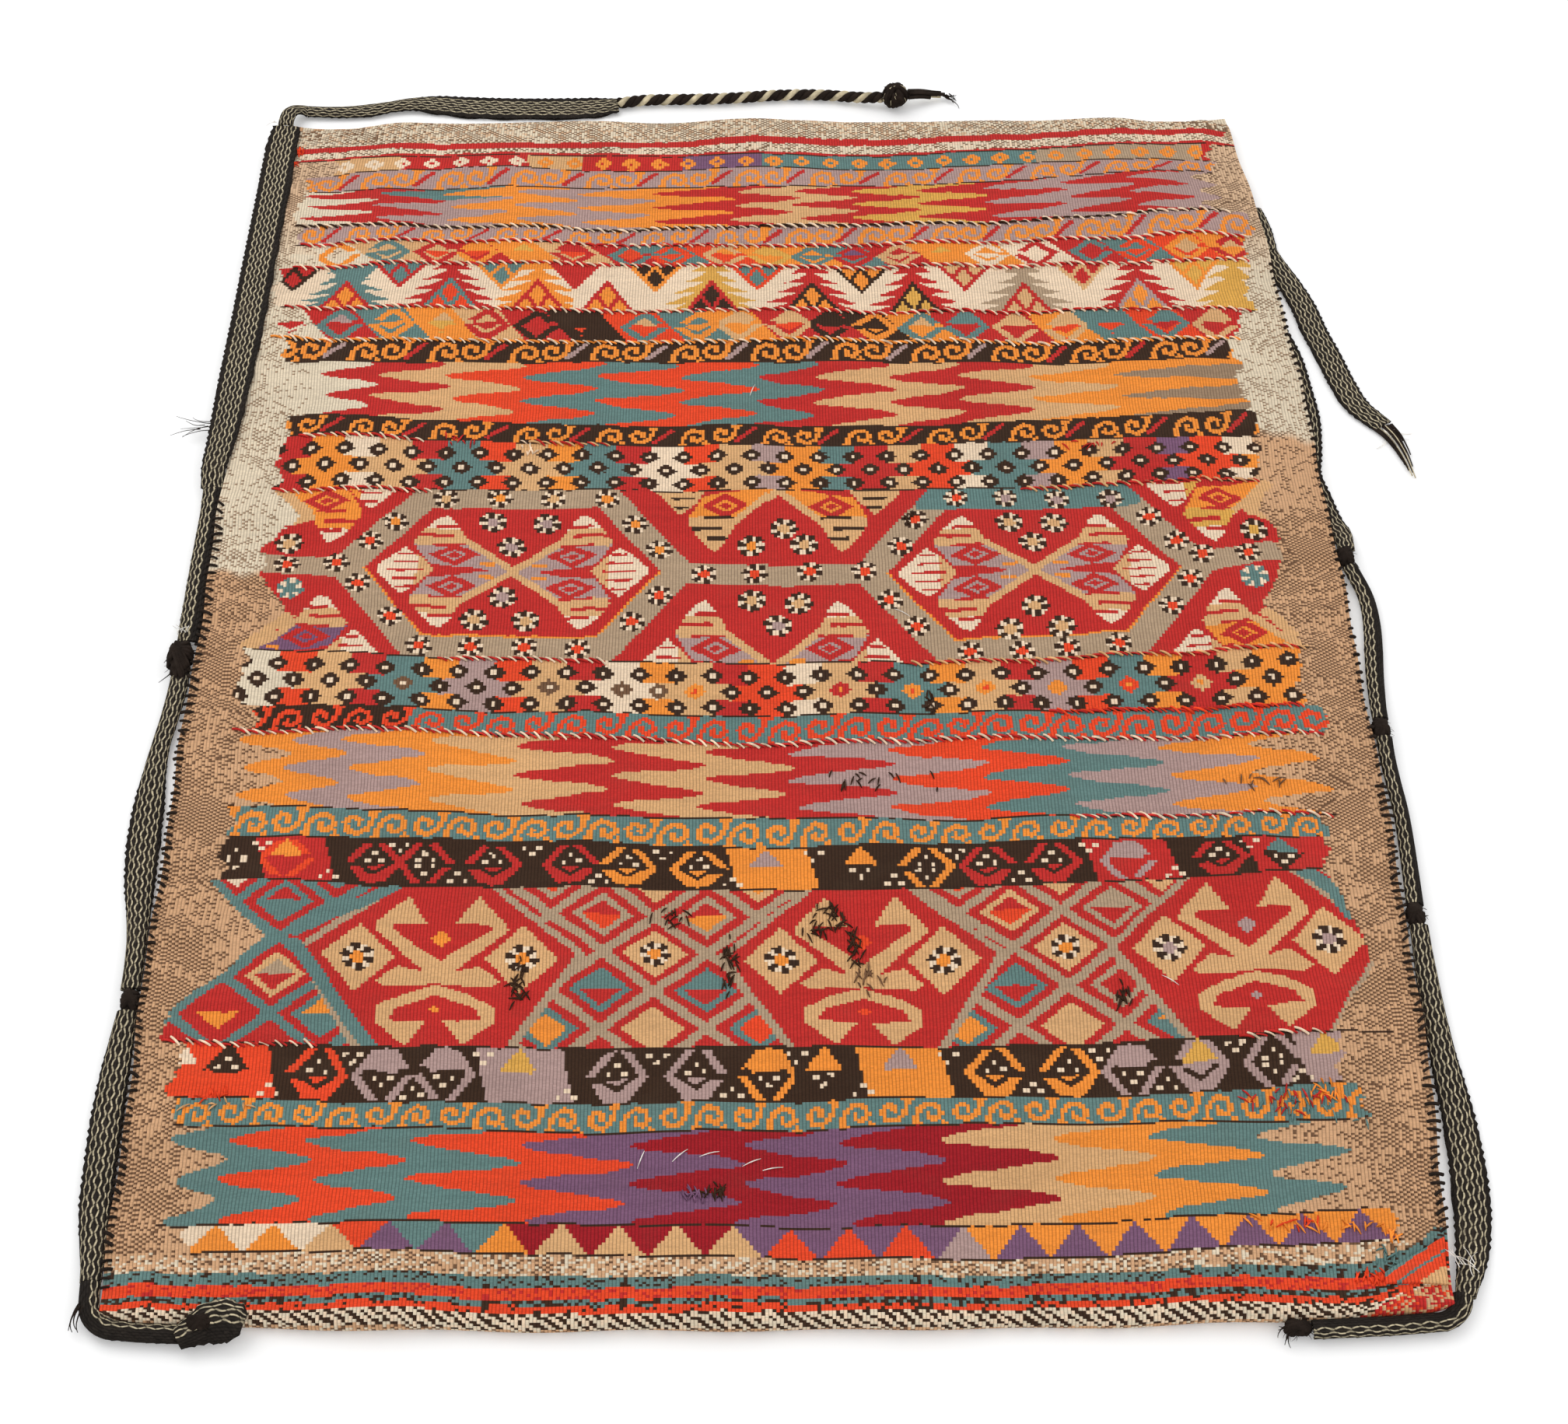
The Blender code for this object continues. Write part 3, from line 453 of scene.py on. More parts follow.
FIELD_FLOWERS = (
    (-203, 136, "G"), (-163, 135, "G"), (-188, 111, "G"), (-192, 60, "G"), (-212, 37, "B"), (-175, 37, "B"),
    (180, 136, "B"), (213, 135, "B"), (196, 115, "B"), (193, 51, "B"), (173, 30, "B"), (210, 30, "B"),
    (-12, 113, "O"), (12, 132, "B"), (27, 115, "B"), (-12, 60, "B"), (22, 58, "B"), (6, 37, "G"),
    (-352, 111, "B"), (362, 119, "Y"),
)


# Left and right end of the medallions, from heights above the band's lower edge to places across
MEDALLION_ENDS = (
    (
        (0, -380), (10, -374), (20, -365), (30, -355), (40, -347), (46, -348), (51, -352), (71, -366),
        (78, -371), (86, -367), (96, -368), (103, -373), (111, -367), (127, -357), (131, -350), (138, -346),
        (150, -354), (166, -367), (172, -372),
    ),
    (
        (0, 390), (12, 384), (26, 373), (38, 363), (45, 359), (54, 364), (68, 372), (84, 376), (92, 379),
        (108, 378), (114, 381), (126, 376), (138, 367), (146, 370), (158, 375), (168, 384),
    ),
)
HEXAGON_PLACES = (-187, 195)
HEXAGON_MIDDLE = 86
# Halves of the hexagons: middle, upper or lower, yarns of the block, the streaks and the leaves, and stretch
HEXAGON_HALVES = (
    *(((x, HEXAGON_MIDDLE), half, "G", "C", "WB", (1, 1)) for x in HEXAGON_PLACES for half in (1, -1)),
    ((8, 172), -1, "O", "K", "BB", (0.92, 1.14)), ((2, -4), 1, "G", "C", "WB", (0.95, 1.10)),
    ((-370, 174), -1, "O", "C", "WO", (0.95, 1.12)), ((-372, -2), 1, "P", "C", "WB", (0.95, 1.05)),
    ((380, 170), -1, "O", "C", "WY", (0.95, 1.10)), ((382, -2), 1, "O", "C", "WB", (0.95, 1.10)),
)
# Half width and half height of a hexagon's field and of the frame round it
FIELD_REACH, FRAME_REACH = 108, 136
FIELD_HALF, FRAME_HALF = 64, 84
FRAME_SLOPE = 0.72
FRAME_LEVEL = ((-380, -310, 310, 370), (4, -1, -1, 12))
TEAL_FROM, TEAL_TO = 110, 278
RIM, RIM_MIDDLE, RIM_FROM, RIM_SLOPE = 12, 84, 44, 6


def medallions(x, v, h, t):
    """Two wide hexagons in a grey frame of flowers, and half ones between them and at both ends."""
    out = np.full(x.shape, code("C"))
    w = v - HEXAGON_MIDDLE
    u = np.abs(x - np.array(HEXAGON_PLACES)[nearest(x, HEXAGON_PLACES)])
    reach = u + FRAME_SLOPE * np.abs(w)
    for values in HEXAGON_HALVES:
        leafy(out, x, v, *values)
    strip = (reach > FIELD_REACH) & (reach < FRAME_REACH) & (np.abs(w) < FRAME_HALF)
    strip |= (reach <= FRAME_REACH) & (np.abs(w) > FIELD_HALF)
    strip |= (reach >= FRAME_REACH - 10) & (np.abs(w - np.interp(x, *FRAME_LEVEL)) < 10)
    out[strip] = code("A")
    out[strip & (w > FIELD_HALF) & (x > TEAL_FROM) & (x < TEAL_TO)] = code("T")
    line = (np.abs(np.maximum(reach - FIELD_REACH, np.abs(w) - FIELD_HALF)) < 0.9) & (w < 0)
    out[line] = code("O")
    for size, found in ((9.5, MEDALLION_FLOWERS), (10.5, FIELD_FLOWERS)):
        for cx, cy, heart in found:
            bloom(out, x, v, (cx, cy), size, heart)
    bloom(out, x, v, (-347, 64), 10, "T", "T")
    bloom(out, x, v, (356, 72), 11, "T", "T")
    left, right = (np.interp(v + 1.2 * np.sin(v * 1.7), *zip(*row)) for row in MEDALLION_ENDS)
    rim = RIM * np.clip((np.abs(v - RIM_MIDDLE) - RIM_FROM) / RIM_SLOPE, 0, 1)
    out[(x < left + rim) | (x > right - rim)] = code("B")
    outside = (x < left) | (x > right)
    out[outside] = margin(x, v - 46)[outside]
    return out


WINGS = (
    ((23, 60), (9, 37), (31, 37), (33, 33), (0, 6), (0, -6), (5, -6), (44, 32), (42, 38)),
    ((0, -5), (26, 3), (40, -9), (34, -14), (0, -12)),
    ((0, -13), (20, -19), (38, -29), (38, -41), (18, -58), (5, -41), (30, -39), (25, -30), (0, -21)),
)


def winged(out, x, v, middle, heart, dots):
    """A hexagon of red with hooked beige wings and a flowered diamond at each side."""
    u, w = x - middle[0], v - middle[1]
    side = np.abs(u)
    half = np.where(w > 12, 88 - 1.05 * (w - 12), 88 - 0.60 * (12 - w))
    out[side < half + 7] = code("A")
    out[side < half] = code("C")
    for wing in WINGS:
        out[within(side, w, wing)] = code("B")
    gem = np.abs(side - 53) / 24 + np.abs(w - 9) / 27
    out[gem < 1] = code("B")
    out[(side < 8) & (np.abs(w) < 5)] = code("B")
    out[np.abs(u) / 7 + np.abs(w - 24) / 7 < 1] = code(dots)
    out[np.abs(u) / 4 + np.abs(w + 32) / 3 < 1] = code(dots)
    for s in (-1, 1):
        bloom(out, x, v, (middle[0] + 53 * s, middle[1] + 9), 11, heart)


# Lattices: middle, half width and height of a cell, yarn of the lines, and yarns of each cell, rim first
CELLS = (
    ((-322, 52), (33, 29), "T", {
        (0, 0): "BAC", (0, 2): "TCT", (1, 3): "TOT", (-1, 3): "WCC", (-1, -1): "CCO", (1, -1): "TOT",
        (1, 1): "CCC",
    }),
    ((-78, 75), (34, 30), "A", {
        (0, 0): "B*", (-1, 1): "ACR", (1, 1): "ACO", (-1, -1): "TTC", (1, -1): "TTC", (0, 2): "BBB",
        (-2, 2): "ARR", (2, 2): "BOO", (0, -2): "BBB", (-2, -2): "TOO", (2, -2): "TRR",
    }),
    ((190, 75), (34, 30), "A", {
        (0, 0): "B*", (-1, 1): "BCR", (1, 1): "AAC", (-1, -1): "TTC", (1, -1): "ACC", (0, 2): "BBB",
        (-2, 2): "ARR", (2, 2): "BRB", (0, -2): "BBB", (-2, -2): "TOO", (2, -2): "TOT",
    }),
)
# Bars of teal beside the lattices, with half their width
CROSS_BARS = (((-312, 86), (-250, 128), 4.5), ((-312, 76), (-256, 0), 4.5))
CROSS_CORNER = ((352, 128), (372, 112), (382, 92))
CROSS_END = ((0, 20, 40, 52, 70, 90, 111, 128), (358, 368, 383, 390, 388, 382, 377, 366))


def crosses(x, v, h, t):
    """Winged hexagons, and lattices of small diamonds between them."""
    out = np.full(x.shape, code("C"))
    for number, ((cx, cy), (bx, by), line, fills) in enumerate(CELLS):
        near = nearest(x, [place for (place, _), *_ in CELLS]) == number
        p, q = (x - cx) / bx, (v - cy) / by
        i, j = np.round((p + q) / 2), np.round((p - q) / 2)
        du, dv = p - (i + j), q - (i - j)
        reach = np.abs(du) + np.abs(dv)
        out[near & (reach > 0.85)] = code(line)
        for (m, n), letters in fills.items():
            cell = near & (i + j == m) & (i - j == n)
            if letters[1] == "*":
                out[cell & (reach < 0.64)] = code(letters[0])
                bloom(out, x, v, (cx + bx * m, cy + by * n), 10, "O")
                continue
            out[cell & (reach < 0.60)] = code(letters[0])
            core = cell & (reach < 0.40)
            out[core] = code(letters[1])
            out[core & (dv < 0.02)] = code(letters[2])
    wedge = -331 - 0.95 * np.abs(v - 82)
    out[x < wedge + 8] = code("T")
    out[x < wedge] = code("M")
    for middle, heart, dots in (((-217, 60), "O", "O"), ((57, 60), "O", "R"), ((311, 62), "G", "G")):
        winged(out, x, v, middle, heart, dots)
    for start, end, reach in CROSS_BARS:
        out[near_line(x, v, (start, end), reach)] = code("T")
    out[near_line(x, v, CROSS_CORNER, 5)] = code("T")
    out[x > np.interp(v, *CROSS_END)] = code("M")
    return out


def sawtooth(x, v, h, t, ups, downs, start, pitch):
    """Triangles on the lower edge, and others hanging between them."""
    place = (x - start) / pitch
    rising = np.abs(place - np.floor(place) - 0.5) < 0.48 * (1 - t) + 0.02
    return np.where(rising, pick(ups, np.floor(place)), pick(downs, np.floor(place - 0.5) + 1))


def flowers(x, v, h, t, start, pitch, grounds, turns, petals):
    """Small four-petalled flowers on blocks of colour."""
    ground = pick(grounds, np.searchsorted(turns, x))
    out = ground.copy()
    number = np.floor((x - start) / pitch + 0.5)
    u, w = np.abs(x - start - number * pitch), np.abs(v - h / 2)
    shape = (np.maximum(u, w) < 4.6) | ((u < 2.4) & (w < 7)) | ((w < 2.4) & (u < 7))
    dress(out, shape, petals, number)
    heart = (u < 1.6) & (w < 1.6)
    out[heart] = ground[heart]
    return out


# Bands from the fold to the mouth: lower edge at the stations, left and right end, kind and its values
BANDS = (
    ((-700,) * 7, -450, 450, tabby, ("MMS", "U", 0.7)),
    ((-573, -577, -582, -581, -581, -578, -574), -450, 450, twill, ("WS", "K")),
    ((-565, -566, -571, -569, -569, -566, -566), -450, 450, stripe, ("R", "K", 0.14)),
    ((-561, -561, -566, -564, -566, -562, -561), -450, 450, stripe, ("T", "K", 0.45)),
    ((-557, -557, -562, -560, -561, -557, -557), -450, 450, stripe, ("R", "C", 0.20)),
    ((-549, -550, -554, -553, -554, -550, -548), -450, 450, stripe, ("T", "K", 0.22)),
    ((-541, -542, -546, -546, -547, -544, -538), -450, 450, tabby, ("SMM", "U", 0.5)),
    (
        (-528, -528, -532, -535, -537, -533, -524), -356, 376, sawtooth,
        ("OOBPPOBBBBRRRGPPPPPPPP", "WWWRTTDDDDPPPPOOOOOOOOO", -356, 34.6),
    ),
    (
        (-510, -508, -511, -514, -514, -511, -502), -373, 362, flame,
        (
            "MTRTRPDPDBOTM",
            (-368, -340, -287, -227, -155, -92, -24, 40, 103, 172, 232, 300, 352), 2.45, 0.86,
        ),
    ),
    ((-441, -442, -447, -446, -443, -442, -439), -374, 366, scroll, ("T", "O", -371, 45.5)),
    (
        (-420, -424, -426, -425, -423, -421, -412), -376, 358, eyes,
        (
            (-375, -345, -288, -247, -208, -162, -100, -50, -5, 30, 78, 138, 185, 225, 268, 315, 350),
            "RRRGGGGGOKOOOGGGG", "WKKGGYKKOOGKKGYKY", "RRRKKGGGKKOOOKGKG", "RRKKKGKKKKOKKKKKG",
            (20, 18.5), True,
        ),
    ),
    ((-378, -384, -386, -385, -385, -381, -373), -386, 392, crosses, ()),
    (
        (-250, -257, -258, -262, -261, -254, -246), -366, 372, eyes,
        (
            (-358, -325, -266, -232, -187, -135, -97, -50, -5, 58, 102, 143, 187, 238, 300, 342),
            "KRCCCCOOOKOCCGCC", "KOKKKKKKGOKKKGKT", "KCCKCCOOOKKCCCCK", "KCKKKKKKOKKKKCKC", (20, 15.5), True,
        ),
    ),
    ((-213, -217, -221, -228, -223, -219, -218), -366, 374, scroll, ("T", "O", -363, 47.6)),
    (
        (-186, -194, -199, -202, -202, -200, -197), -367, 386, flame,
        (
            "MOGOBCBCGRTGOM",
            (-363, -333, -293, -236, -173, -111, -49, 14, 84, 148, 205, 271, 335, 384), 2.74, 0.88,
        ),
    ),
    ((-122, -123, -130, -136, -130, -131, -127), -360, 386, scroll, ("KT", "R", -348, 49.4, "", -252)),
    (
        (-98, -104, -108, -110, -107, -105, -101), -372, 376, checker,
        (
            -398.7, 25.6, "SSRBCTOGRBCWOBCRWBCTOBCGRTOCBOO",
            "KKKKKUKKKUKUUOKKKCKOKOKOKRKBKK", "WWWWWWWWWWWWWRWWWOWRWRWOWOWOWW",
        ),
    ),
    ((-46, -56, -59, -62, -60, -55, -46), -374, 384, medallions, ()),
    (
        (115, 112, 111, 111, 113, 116, 124), -368, 374, checker,
        (-371, 25.7, "COWBCTRBOTCWRBGOTCBRWTGOBCPRWO", "K", "W"),
    ),
    ((172, 164, 160, 160, 162, 165, 171), -366, 380, scroll, ("K", "O", -332, 63.2, "C")),
    (
        (193, 185, 180, 182, 181, 188, 199), -352, 372, flame,
        (
            "SCBRTRTCBCBOUU",
            (-340, -303, -245, -189, -128, -67, -9, 42, 100, 153, 210, 275, 385, 400), 2.6, 0.77,
        ),
    ),
    ((252, 252, 252, 252, 252, 253, 259), -377, 368, scroll, ("K", "O", -337, 63.0, "GCCGGGGGGCCG")),
    (
        (280, 278, 274, 277, 277, 277, 283), -384, 378, eyes,
        (
            (
                -375, -336, -295, -255, -220, -180, -145, -95, -52, -20,
                20, 52, 88, 125, 160, 200, 240, 275, 320, 360,
            ),
            "MTOOCKKTOBBKOTTBBTTB", "MGTBBCKBTBBKKBTBBTTB", "CCOYCCRROORCOOCCRRCC", "SCTOBCKRTOCCKOCCOTRC",
        ),
    ),
    (
        (318, 317, 310, 313, 312, 313, 318), -390, 392, serrated,
        (
            (
                (-378, "K", "C"), (-330, "T", "T"), (-292, "C", "T"), (-211, "O", "T"), (-152, "C", "C"),
                (-87, "O", "K"), (-5, "R", "T"), (79, "K", "O"), (162, "C", "B"), (258, "B", "C"),
                (350, "O", "Y"),
            ),
            (
                (-335, "C", "O"), (-251, "T", "R"), (-181, "C", "O"), (-125, "C", "O"), (-42, "C", "K"),
                (39, "K", "O"), (120, "K", "Y"), (210, "C", "B"), (303, "G", "O"), (382, "Y", "Y"),
            ),
            "TCOWYCCACY",
        ),
    ),
    (
        (366, 371, 368, 367, 366, 368, 377), -380, 396, eyes,
        (
            (
                -375, -345, -305, -265, -233, -195, -155, -108, -75, -32, 5,
                40, 73, 110, 145, 182, 222, 268, 305, 347, 384,
            ),
            "MOTCOOCTRBYTCBOWCTROC", "MMBBOYCRTOYOPCYOWCTBB",
            "SMTRRORRRROTCBOWWCRBO", "SSBBCOBCTROOTCOOWCTRO", (19, 14.5),
        ),
    ),
    ((394, 399, 393, 393, 394, 400, 409), -380, 402, scroll, ("G", "O", -352, 60.0, "C")),
    (
        (415, 417, 412, 418, 418, 426, 440), -382, 392, flame,
        (
            "SCGOGOCBCYCGCGM",
            (-376, -320, -262, -205, -150, -92, -25, 28, 77, 130, 188, 253, 310, 362, 380), 2.95, 0.87,
            (2, "T", 0.72),
        ),
    ),
    ((463, 468, 467, 468, 471, 479, 492), -376, 384, scroll, ("G", "O", -344, 62.0, "C")),
    (
        (487, 497, 489, 493, 493, 500, 506), -356, 378, flowers,
        (-348.5, 23.9, "BCBCPTAC", (-302, -196, -150, -66, 0, 232, 374), "WWWWWWWOOOOOOOOOOOOOOOOOOOOOOOO"),
    ),
    ((509, 512, 510, 510, 512, 518, 528), -400, 400, stripe, ("C",)),
    ((513, 516, 514, 514, 516, 522, 532), -400, 400, tabby, ("SW", "U", 0.75)),
    ((523, 521, 522, 526, 527, 533, 542), -400, 400, stripe, ("C",)),
    ((530, 529, 529, 535, 535, 541, 549), -400, 400, tabby, ("SSM", "U", 0.85)),
    ((700,) * 7, 0, 0, None, ()),
)
OUTLINED = range(7, 30)
OUTLINE = 1.3
# The hem's stripes rise to the right corner: from x, over a length, by a height
RISE_FROM, RISE_LENGTH, RISE, RISE_POWER = 340, 58, 24, 2.4
# Plain cells of the figures past PLAIN_FROM are speckled like the margins, but not in hem and medallions
PLAIN_FROM = 280
HEM_TOP = -528
MEDALLION_Y, MEDALLION_HALF = 30, 98
# The corner that is worn to bare threads: x and y of its start, slope and lowest y
FADED_X, FADED_Y, FADED_SLOPE, FADED_LOW = 334, -579, 0.48, -640
WORN_YARNS = "CCBRM"
# The stretch of the right margin with little speckle
BALD_LOW, BALD_HIGH, BALD_SHARE = 95, 172, 0.25


def bleach(x, y):
    """How far the plain margins are bleached, from 0 to 1."""
    left = (y - 27 + 5 * drift(x, 2, 60)) / 7
    right = (y - 167 + 6 * drift(x, 5, 60)) / 9
    pale = np.where(x < 0, left, right) + 0.25 * drift(x + y, 6, 80)
    return np.clip(pale, 0, 1) * np.clip((480 - y) / 120, 0.3, 1)


def margin(x, y):
    """Plain weave beside the pattern: light brown with a dark speckle, denser in slanting bands that are
    painted shade of creases.
    """
    i, j = cell_numbers(x, y)
    share = 0.95 - 0.45 * bleach(x, y) + 0.30 * drift(x + y, 3, 130)
    share *= np.clip(0.45 + (np.abs(x) - 358 + 9 * drift(y, 8, 61)) / 22, 0.42, 1)
    # Slanting bands of denser and sparser dark speckle: painted shade and light of creases
    share *= 0.84 + 0.22 * np.sin((y - 0.55 * np.abs(x)) / 7.5 + 2.6 * drift(y, 4, 83))
    share = np.where((x > 0) & (y > BALD_LOW) & (y < BALD_HIGH), BALD_SHARE, share)
    speckled = (np.mod(i + j, 2) == 0) & (hashed(i, j) < share)
    return np.where(speckled, code("U"), code("M"))


def pattern(x, y):
    """Yarn of each cell of the front, from the cell centres in metres."""
    x = x * 1000 + 0.6 * drift(y * 1000, 1, 70)
    y = y * 1000 + 0.8 * drift(x, 4, 95) + 0.4 * drift(x, 7, 31)
    out = margin(x, y)
    edges = [np.interp(x, STATIONS, row) for row, *_ in BANDS]
    rise = RISE * np.clip((x - RISE_FROM) / RISE_LENGTH, 0, 1) ** RISE_POWER
    edges[1:7] = [edge + rise for edge in edges[1:7]]
    left = 4.5 * drift(y, 2, 47) + 2 * drift(y, 6, 13)
    right = 4.5 * drift(y, 5, 53) + 2 * drift(y, 9, 15)
    for number, (_, first, last, kind, values) in enumerate(BANDS[:-1]):
        low, high = edges[number], edges[number + 1]
        inside = (y >= low) & (y < high) & (x > first + left) & (x < last + right)
        if not inside.any():
            continue
        height = float(np.median((high - low)[inside]))
        share = ((y - low) / (high - low))[inside]
        out[inside] = kind(x[inside], share * height, height, share, *values)
        if number in OUTLINED:
            out[inside & (y - low < OUTLINE)] = code("K")
    plain = (out == code("M")) & (np.abs(x) > PLAIN_FROM) & (y > HEM_TOP)
    plain &= np.abs(y - MEDALLION_Y) > MEDALLION_HALF
    out[plain] = margin(x, y)[plain]
    faded = (x > FADED_X) & (y < FADED_Y + FADED_SLOPE * (x - FADED_X)) & (y > FADED_LOW)
    dress(out, faded, WORN_YARNS, hashed(*cell_numbers(x, y)) * len(WORN_YARNS))
    return out


# Form of the cloth: the waver of its edges, as height and pace, and how the fold's corners draw in
EDGE_WAVES = ((0.0010, 31.0), (0.0006, 83.0))
FOLD_WAVE = (0.0008, 55.0)
CORNER_LENGTH, CORNER_DRAW = 0.018, 0.004


def bow(along):
    """1 in the middle of an edge and 0 at its ends, for along from -1 to 1."""
    return 1.0 - np.abs(np.clip(along, -1, 1)) ** 3


def edge_x(side, y):
    """How far out a side edge lies at y, without its sign."""
    (slow, slow_pace), (quick, quick_pace) = EDGE_WAVES
    waver = slow * np.sin(slow_pace * y + side) + quick * np.sin(quick_pace * y)
    return HALF_WIDTH + SIDE_BOW[side] * bow(y / HALF_LENGTH) + waver


def fold_edge(x):
    """Y of the folded edge at x, drawn in at the corners."""
    corner = np.clip((np.abs(x) - (HALF_WIDTH - CORNER_LENGTH)) / CORNER_LENGTH, 0, 1)
    waver = FOLD_WAVE[0] * np.sin(FOLD_WAVE[1] * x)
    return -HALF_LENGTH - FOLD_BOW * bow(x / HALF_WIDTH) + CORNER_DRAW * corner**2 + waver


MOUTH_EDGE = (
    (-0.400, -0.350, -0.300, -0.200, -0.100, 0.000, 0.040, 0.100, 0.140, 0.200, 0.300, 0.380, 0.395),
    (-0.016, -0.014, -0.008, -0.006, -0.006, -0.001, 0.000, -0.005, -0.005, 0.001, 0.004, 0.003, -0.002),
)
MOUTH_DRIFT_FROM, MOUTH_DRIFT_LENGTH = 0.44, 0.12
MOUTH_HEM, MOUTH_DROP = 0.008, 0.0012
RIPPLES, RIPPLE_PACES = 9, (18, 62)
CREASE_REACH, CREASE_LEAN = 0.09, 0.45


def mouth_drift(x, y):
    """How far the cloth strays along y near the mouth."""
    return np.interp(x, *MOUTH_EDGE) * np.clip((y - MOUTH_DRIFT_FROM) / MOUTH_DRIFT_LENGTH, 0, 1)


def spread_x(u, y):
    """X of a share from -1 to 1 across the sack at y."""
    return np.where(u < 0, u * edge_x(LEFT, y), u * edge_x(RIGHT, y))


def from_edge(x, y):
    """How far a place lies inside the nearer side edge."""
    return np.where(x < 0, edge_x(LEFT, y), edge_x(RIGHT, y)) - np.abs(x)


def inward_share(x, y):
    """0 at the sewn edge and 1 past the seam."""
    return 1 - (1 - np.clip(from_edge(x, y) / SEAM_WIDTH, 0, 1)) ** 2


def ripple(x, y):
    """The rise and fall of the upper cloth."""
    rng = random.Random(settings("cloth").seed)
    total = np.zeros(np.shape(x))
    for _ in range(RIPPLES):
        turn = rng.uniform(0, 2 * math.pi)
        pace = rng.uniform(*RIPPLE_PACES)
        total = total + np.sin(pace * (x * math.cos(turn) + y * math.sin(turn)) + rng.uniform(0, 6.3)) / 3
    return total


def top_z(x, y):
    """Height of the upper cloth's face."""
    cloth = settings("cloth")
    share = inward_share(x, y)
    level = EDGE_TOP + (CLOTH_TOP - EDGE_TOP) * share
    away = np.clip(from_edge(x, y) / CREASE_REACH, 0, 1)
    lean = y - CREASE_LEAN * np.abs(x)
    crease = (np.sin(95 * lean + 2.4 * np.sin(19 * y)) - 1) * away**1.5 * (1 - away) * 4
    crease = crease + 0.6 * np.sin(175 * y + 9 * x + 2.0 * np.sin(23 * y)) * (1 - share) * share * 4
    mouth = np.clip((y - (FRONT_MOUTH_Y - MOUTH_HEM)) / MOUTH_HEM, 0, 1) ** 2
    return level + share * cloth.swell * ripple(x, y) + cloth.pucker * crease - MOUTH_DROP * mouth


def bottom_z(x, y):
    """Height of the lower cloth's under face."""
    return EDGE_BOTTOM * (1 - inward_share(x, y)) ** 1.5


def layer(x, y):
    """Thickness of one layer."""
    cloth = settings("cloth")
    return cloth.edge_thickness + (cloth.thickness - cloth.edge_thickness) * inward_share(x, y)


def yarn_table():
    """Colour of each yarn, by number."""
    yarns = settings("yarns")
    return np.array([tuple(getattr(yarns, name)) for name in YARN_NAMES])


def woven_colours(x, y):
    """Colours of the cells of the front. The plain margins fade from tan to straw."""
    codes = pattern(x, y)
    table = yarn_table()
    colours = table[codes]
    pale = bleach(x * 1000, y * 1000)[..., None]
    plain = (codes == code("M"))[..., None]
    dark = (codes == code("U"))[..., None]
    colours = np.where(plain, colours + (table[code("S")] - colours) * pale, colours)
    return np.where(dark, colours + (table[code("A")] - colours) * pale * 0.6, colours)


def shell(name, outer, inner, colours, uv):
    """A closed sheet from a fine outer grid and an inner grid of half as many cells each way.

    colours holds the colour of each fine cell, and uv the woven place of each fine corner.
    """
    rows, columns = outer.shape[0] - 1, outer.shape[1] - 1
    fine = np.arange((rows + 1) * (columns + 1)).reshape(rows + 1, columns + 1)
    half_rows, half_columns = rows // 2 + 1, columns // 2 + 1
    half = np.arange(half_rows * half_columns).reshape(half_rows, half_columns) + fine.size
    top = np.stack([fine[:-1, :-1], fine[:-1, 1:], fine[1:, 1:], fine[1:, :-1]], -1).reshape(-1, 4)
    low = np.stack([half[:-1, :-1], half[1:, :-1], half[1:, 1:], half[:-1, 1:]], -1).reshape(-1, 4)
    walls, shades = [], []
    for edge, lining, yarns, turned in (
        (fine[0], half[0], colours[0], True),
        (fine[-1], half[-1], colours[-1], False),
        (fine[:, 0], half[:, 0], colours[:, 0], False),
        (fine[:, -1], half[:, -1], colours[:, -1], True),
    ):
        for k in range(len(lining) - 1):
            upper, lower = edge[2 * k : 2 * k + 3], lining[k : k + 2]
            walls.append([*upper[::-1], *lower] if turned else [*upper, *lower[::-1]])
            shades.append(yarns[2 * k])
    faces = top.tolist() + low.tolist() + [[int(i) for i in wall] for wall in walls]
    mesh = bpy.data.meshes.new(name)
    points = np.concatenate([outer.reshape(-1, 3), inner.reshape(-1, 3)])
    mesh.from_pydata(points.tolist(), [], faces)
    places = np.concatenate([uv.reshape(-1, 2), uv[::2, ::2].reshape(-1, 2)])
    paint(mesh, np.concatenate([colours.reshape(-1, 3), colours[::2, ::2].reshape(-1, 3), shades]), places)
    mesh.shade_smooth()
    mesh.set_sharp_from_angle(angle=math.radians(60))
    return add_object(name, mesh)


def paint(mesh, face_colours, places):
    """Give each face its yarn, and each corner its woven place in metres."""
    counts = np.zeros(len(mesh.polygons), np.int32)
    mesh.polygons.foreach_get("loop_total", counts)
    corners = np.zeros(len(mesh.loops), np.int32)
    mesh.loops.foreach_get("vertex_index", corners)
    colours = np.repeat(np.column_stack([face_colours, np.ones(len(face_colours))]), counts, axis=0)
    attribute = mesh.color_attributes.new("yarn", "FLOAT_COLOR", "CORNER")
    attribute.data.foreach_set("color", colours.astype(np.float32).ravel())
    layer_uv = mesh.uv_layers.new(name="woven")
    layer_uv.data.foreach_set("uv", places[corners].astype(np.float32).ravel())


def add_object(name, mesh, material=None):
    """Link a mesh as an object at the origin."""
    ob = bpy.data.objects.new(name, mesh)
    bpy.context.scene.collection.objects.link(ob)
    if material:
        mesh.materials.append(material)
    return ob


# Materials

WOOL_ROUGHNESS = 0.95
WOOL_SHEEN, WOOL_SHEEN_ROUGHNESS = 0.02, 0.6
CLOTH_GLOSS, YARN_GLOSS = 0.1, 0.08
CELL_CHANGE = 0.18
SOIL_COLOUR = "6B5A48"
LOOSE_YARNS = {"Dark yarn": "2A221D", "Pale yarn": "CDBF9F", "Lint": "F4EFE6"}


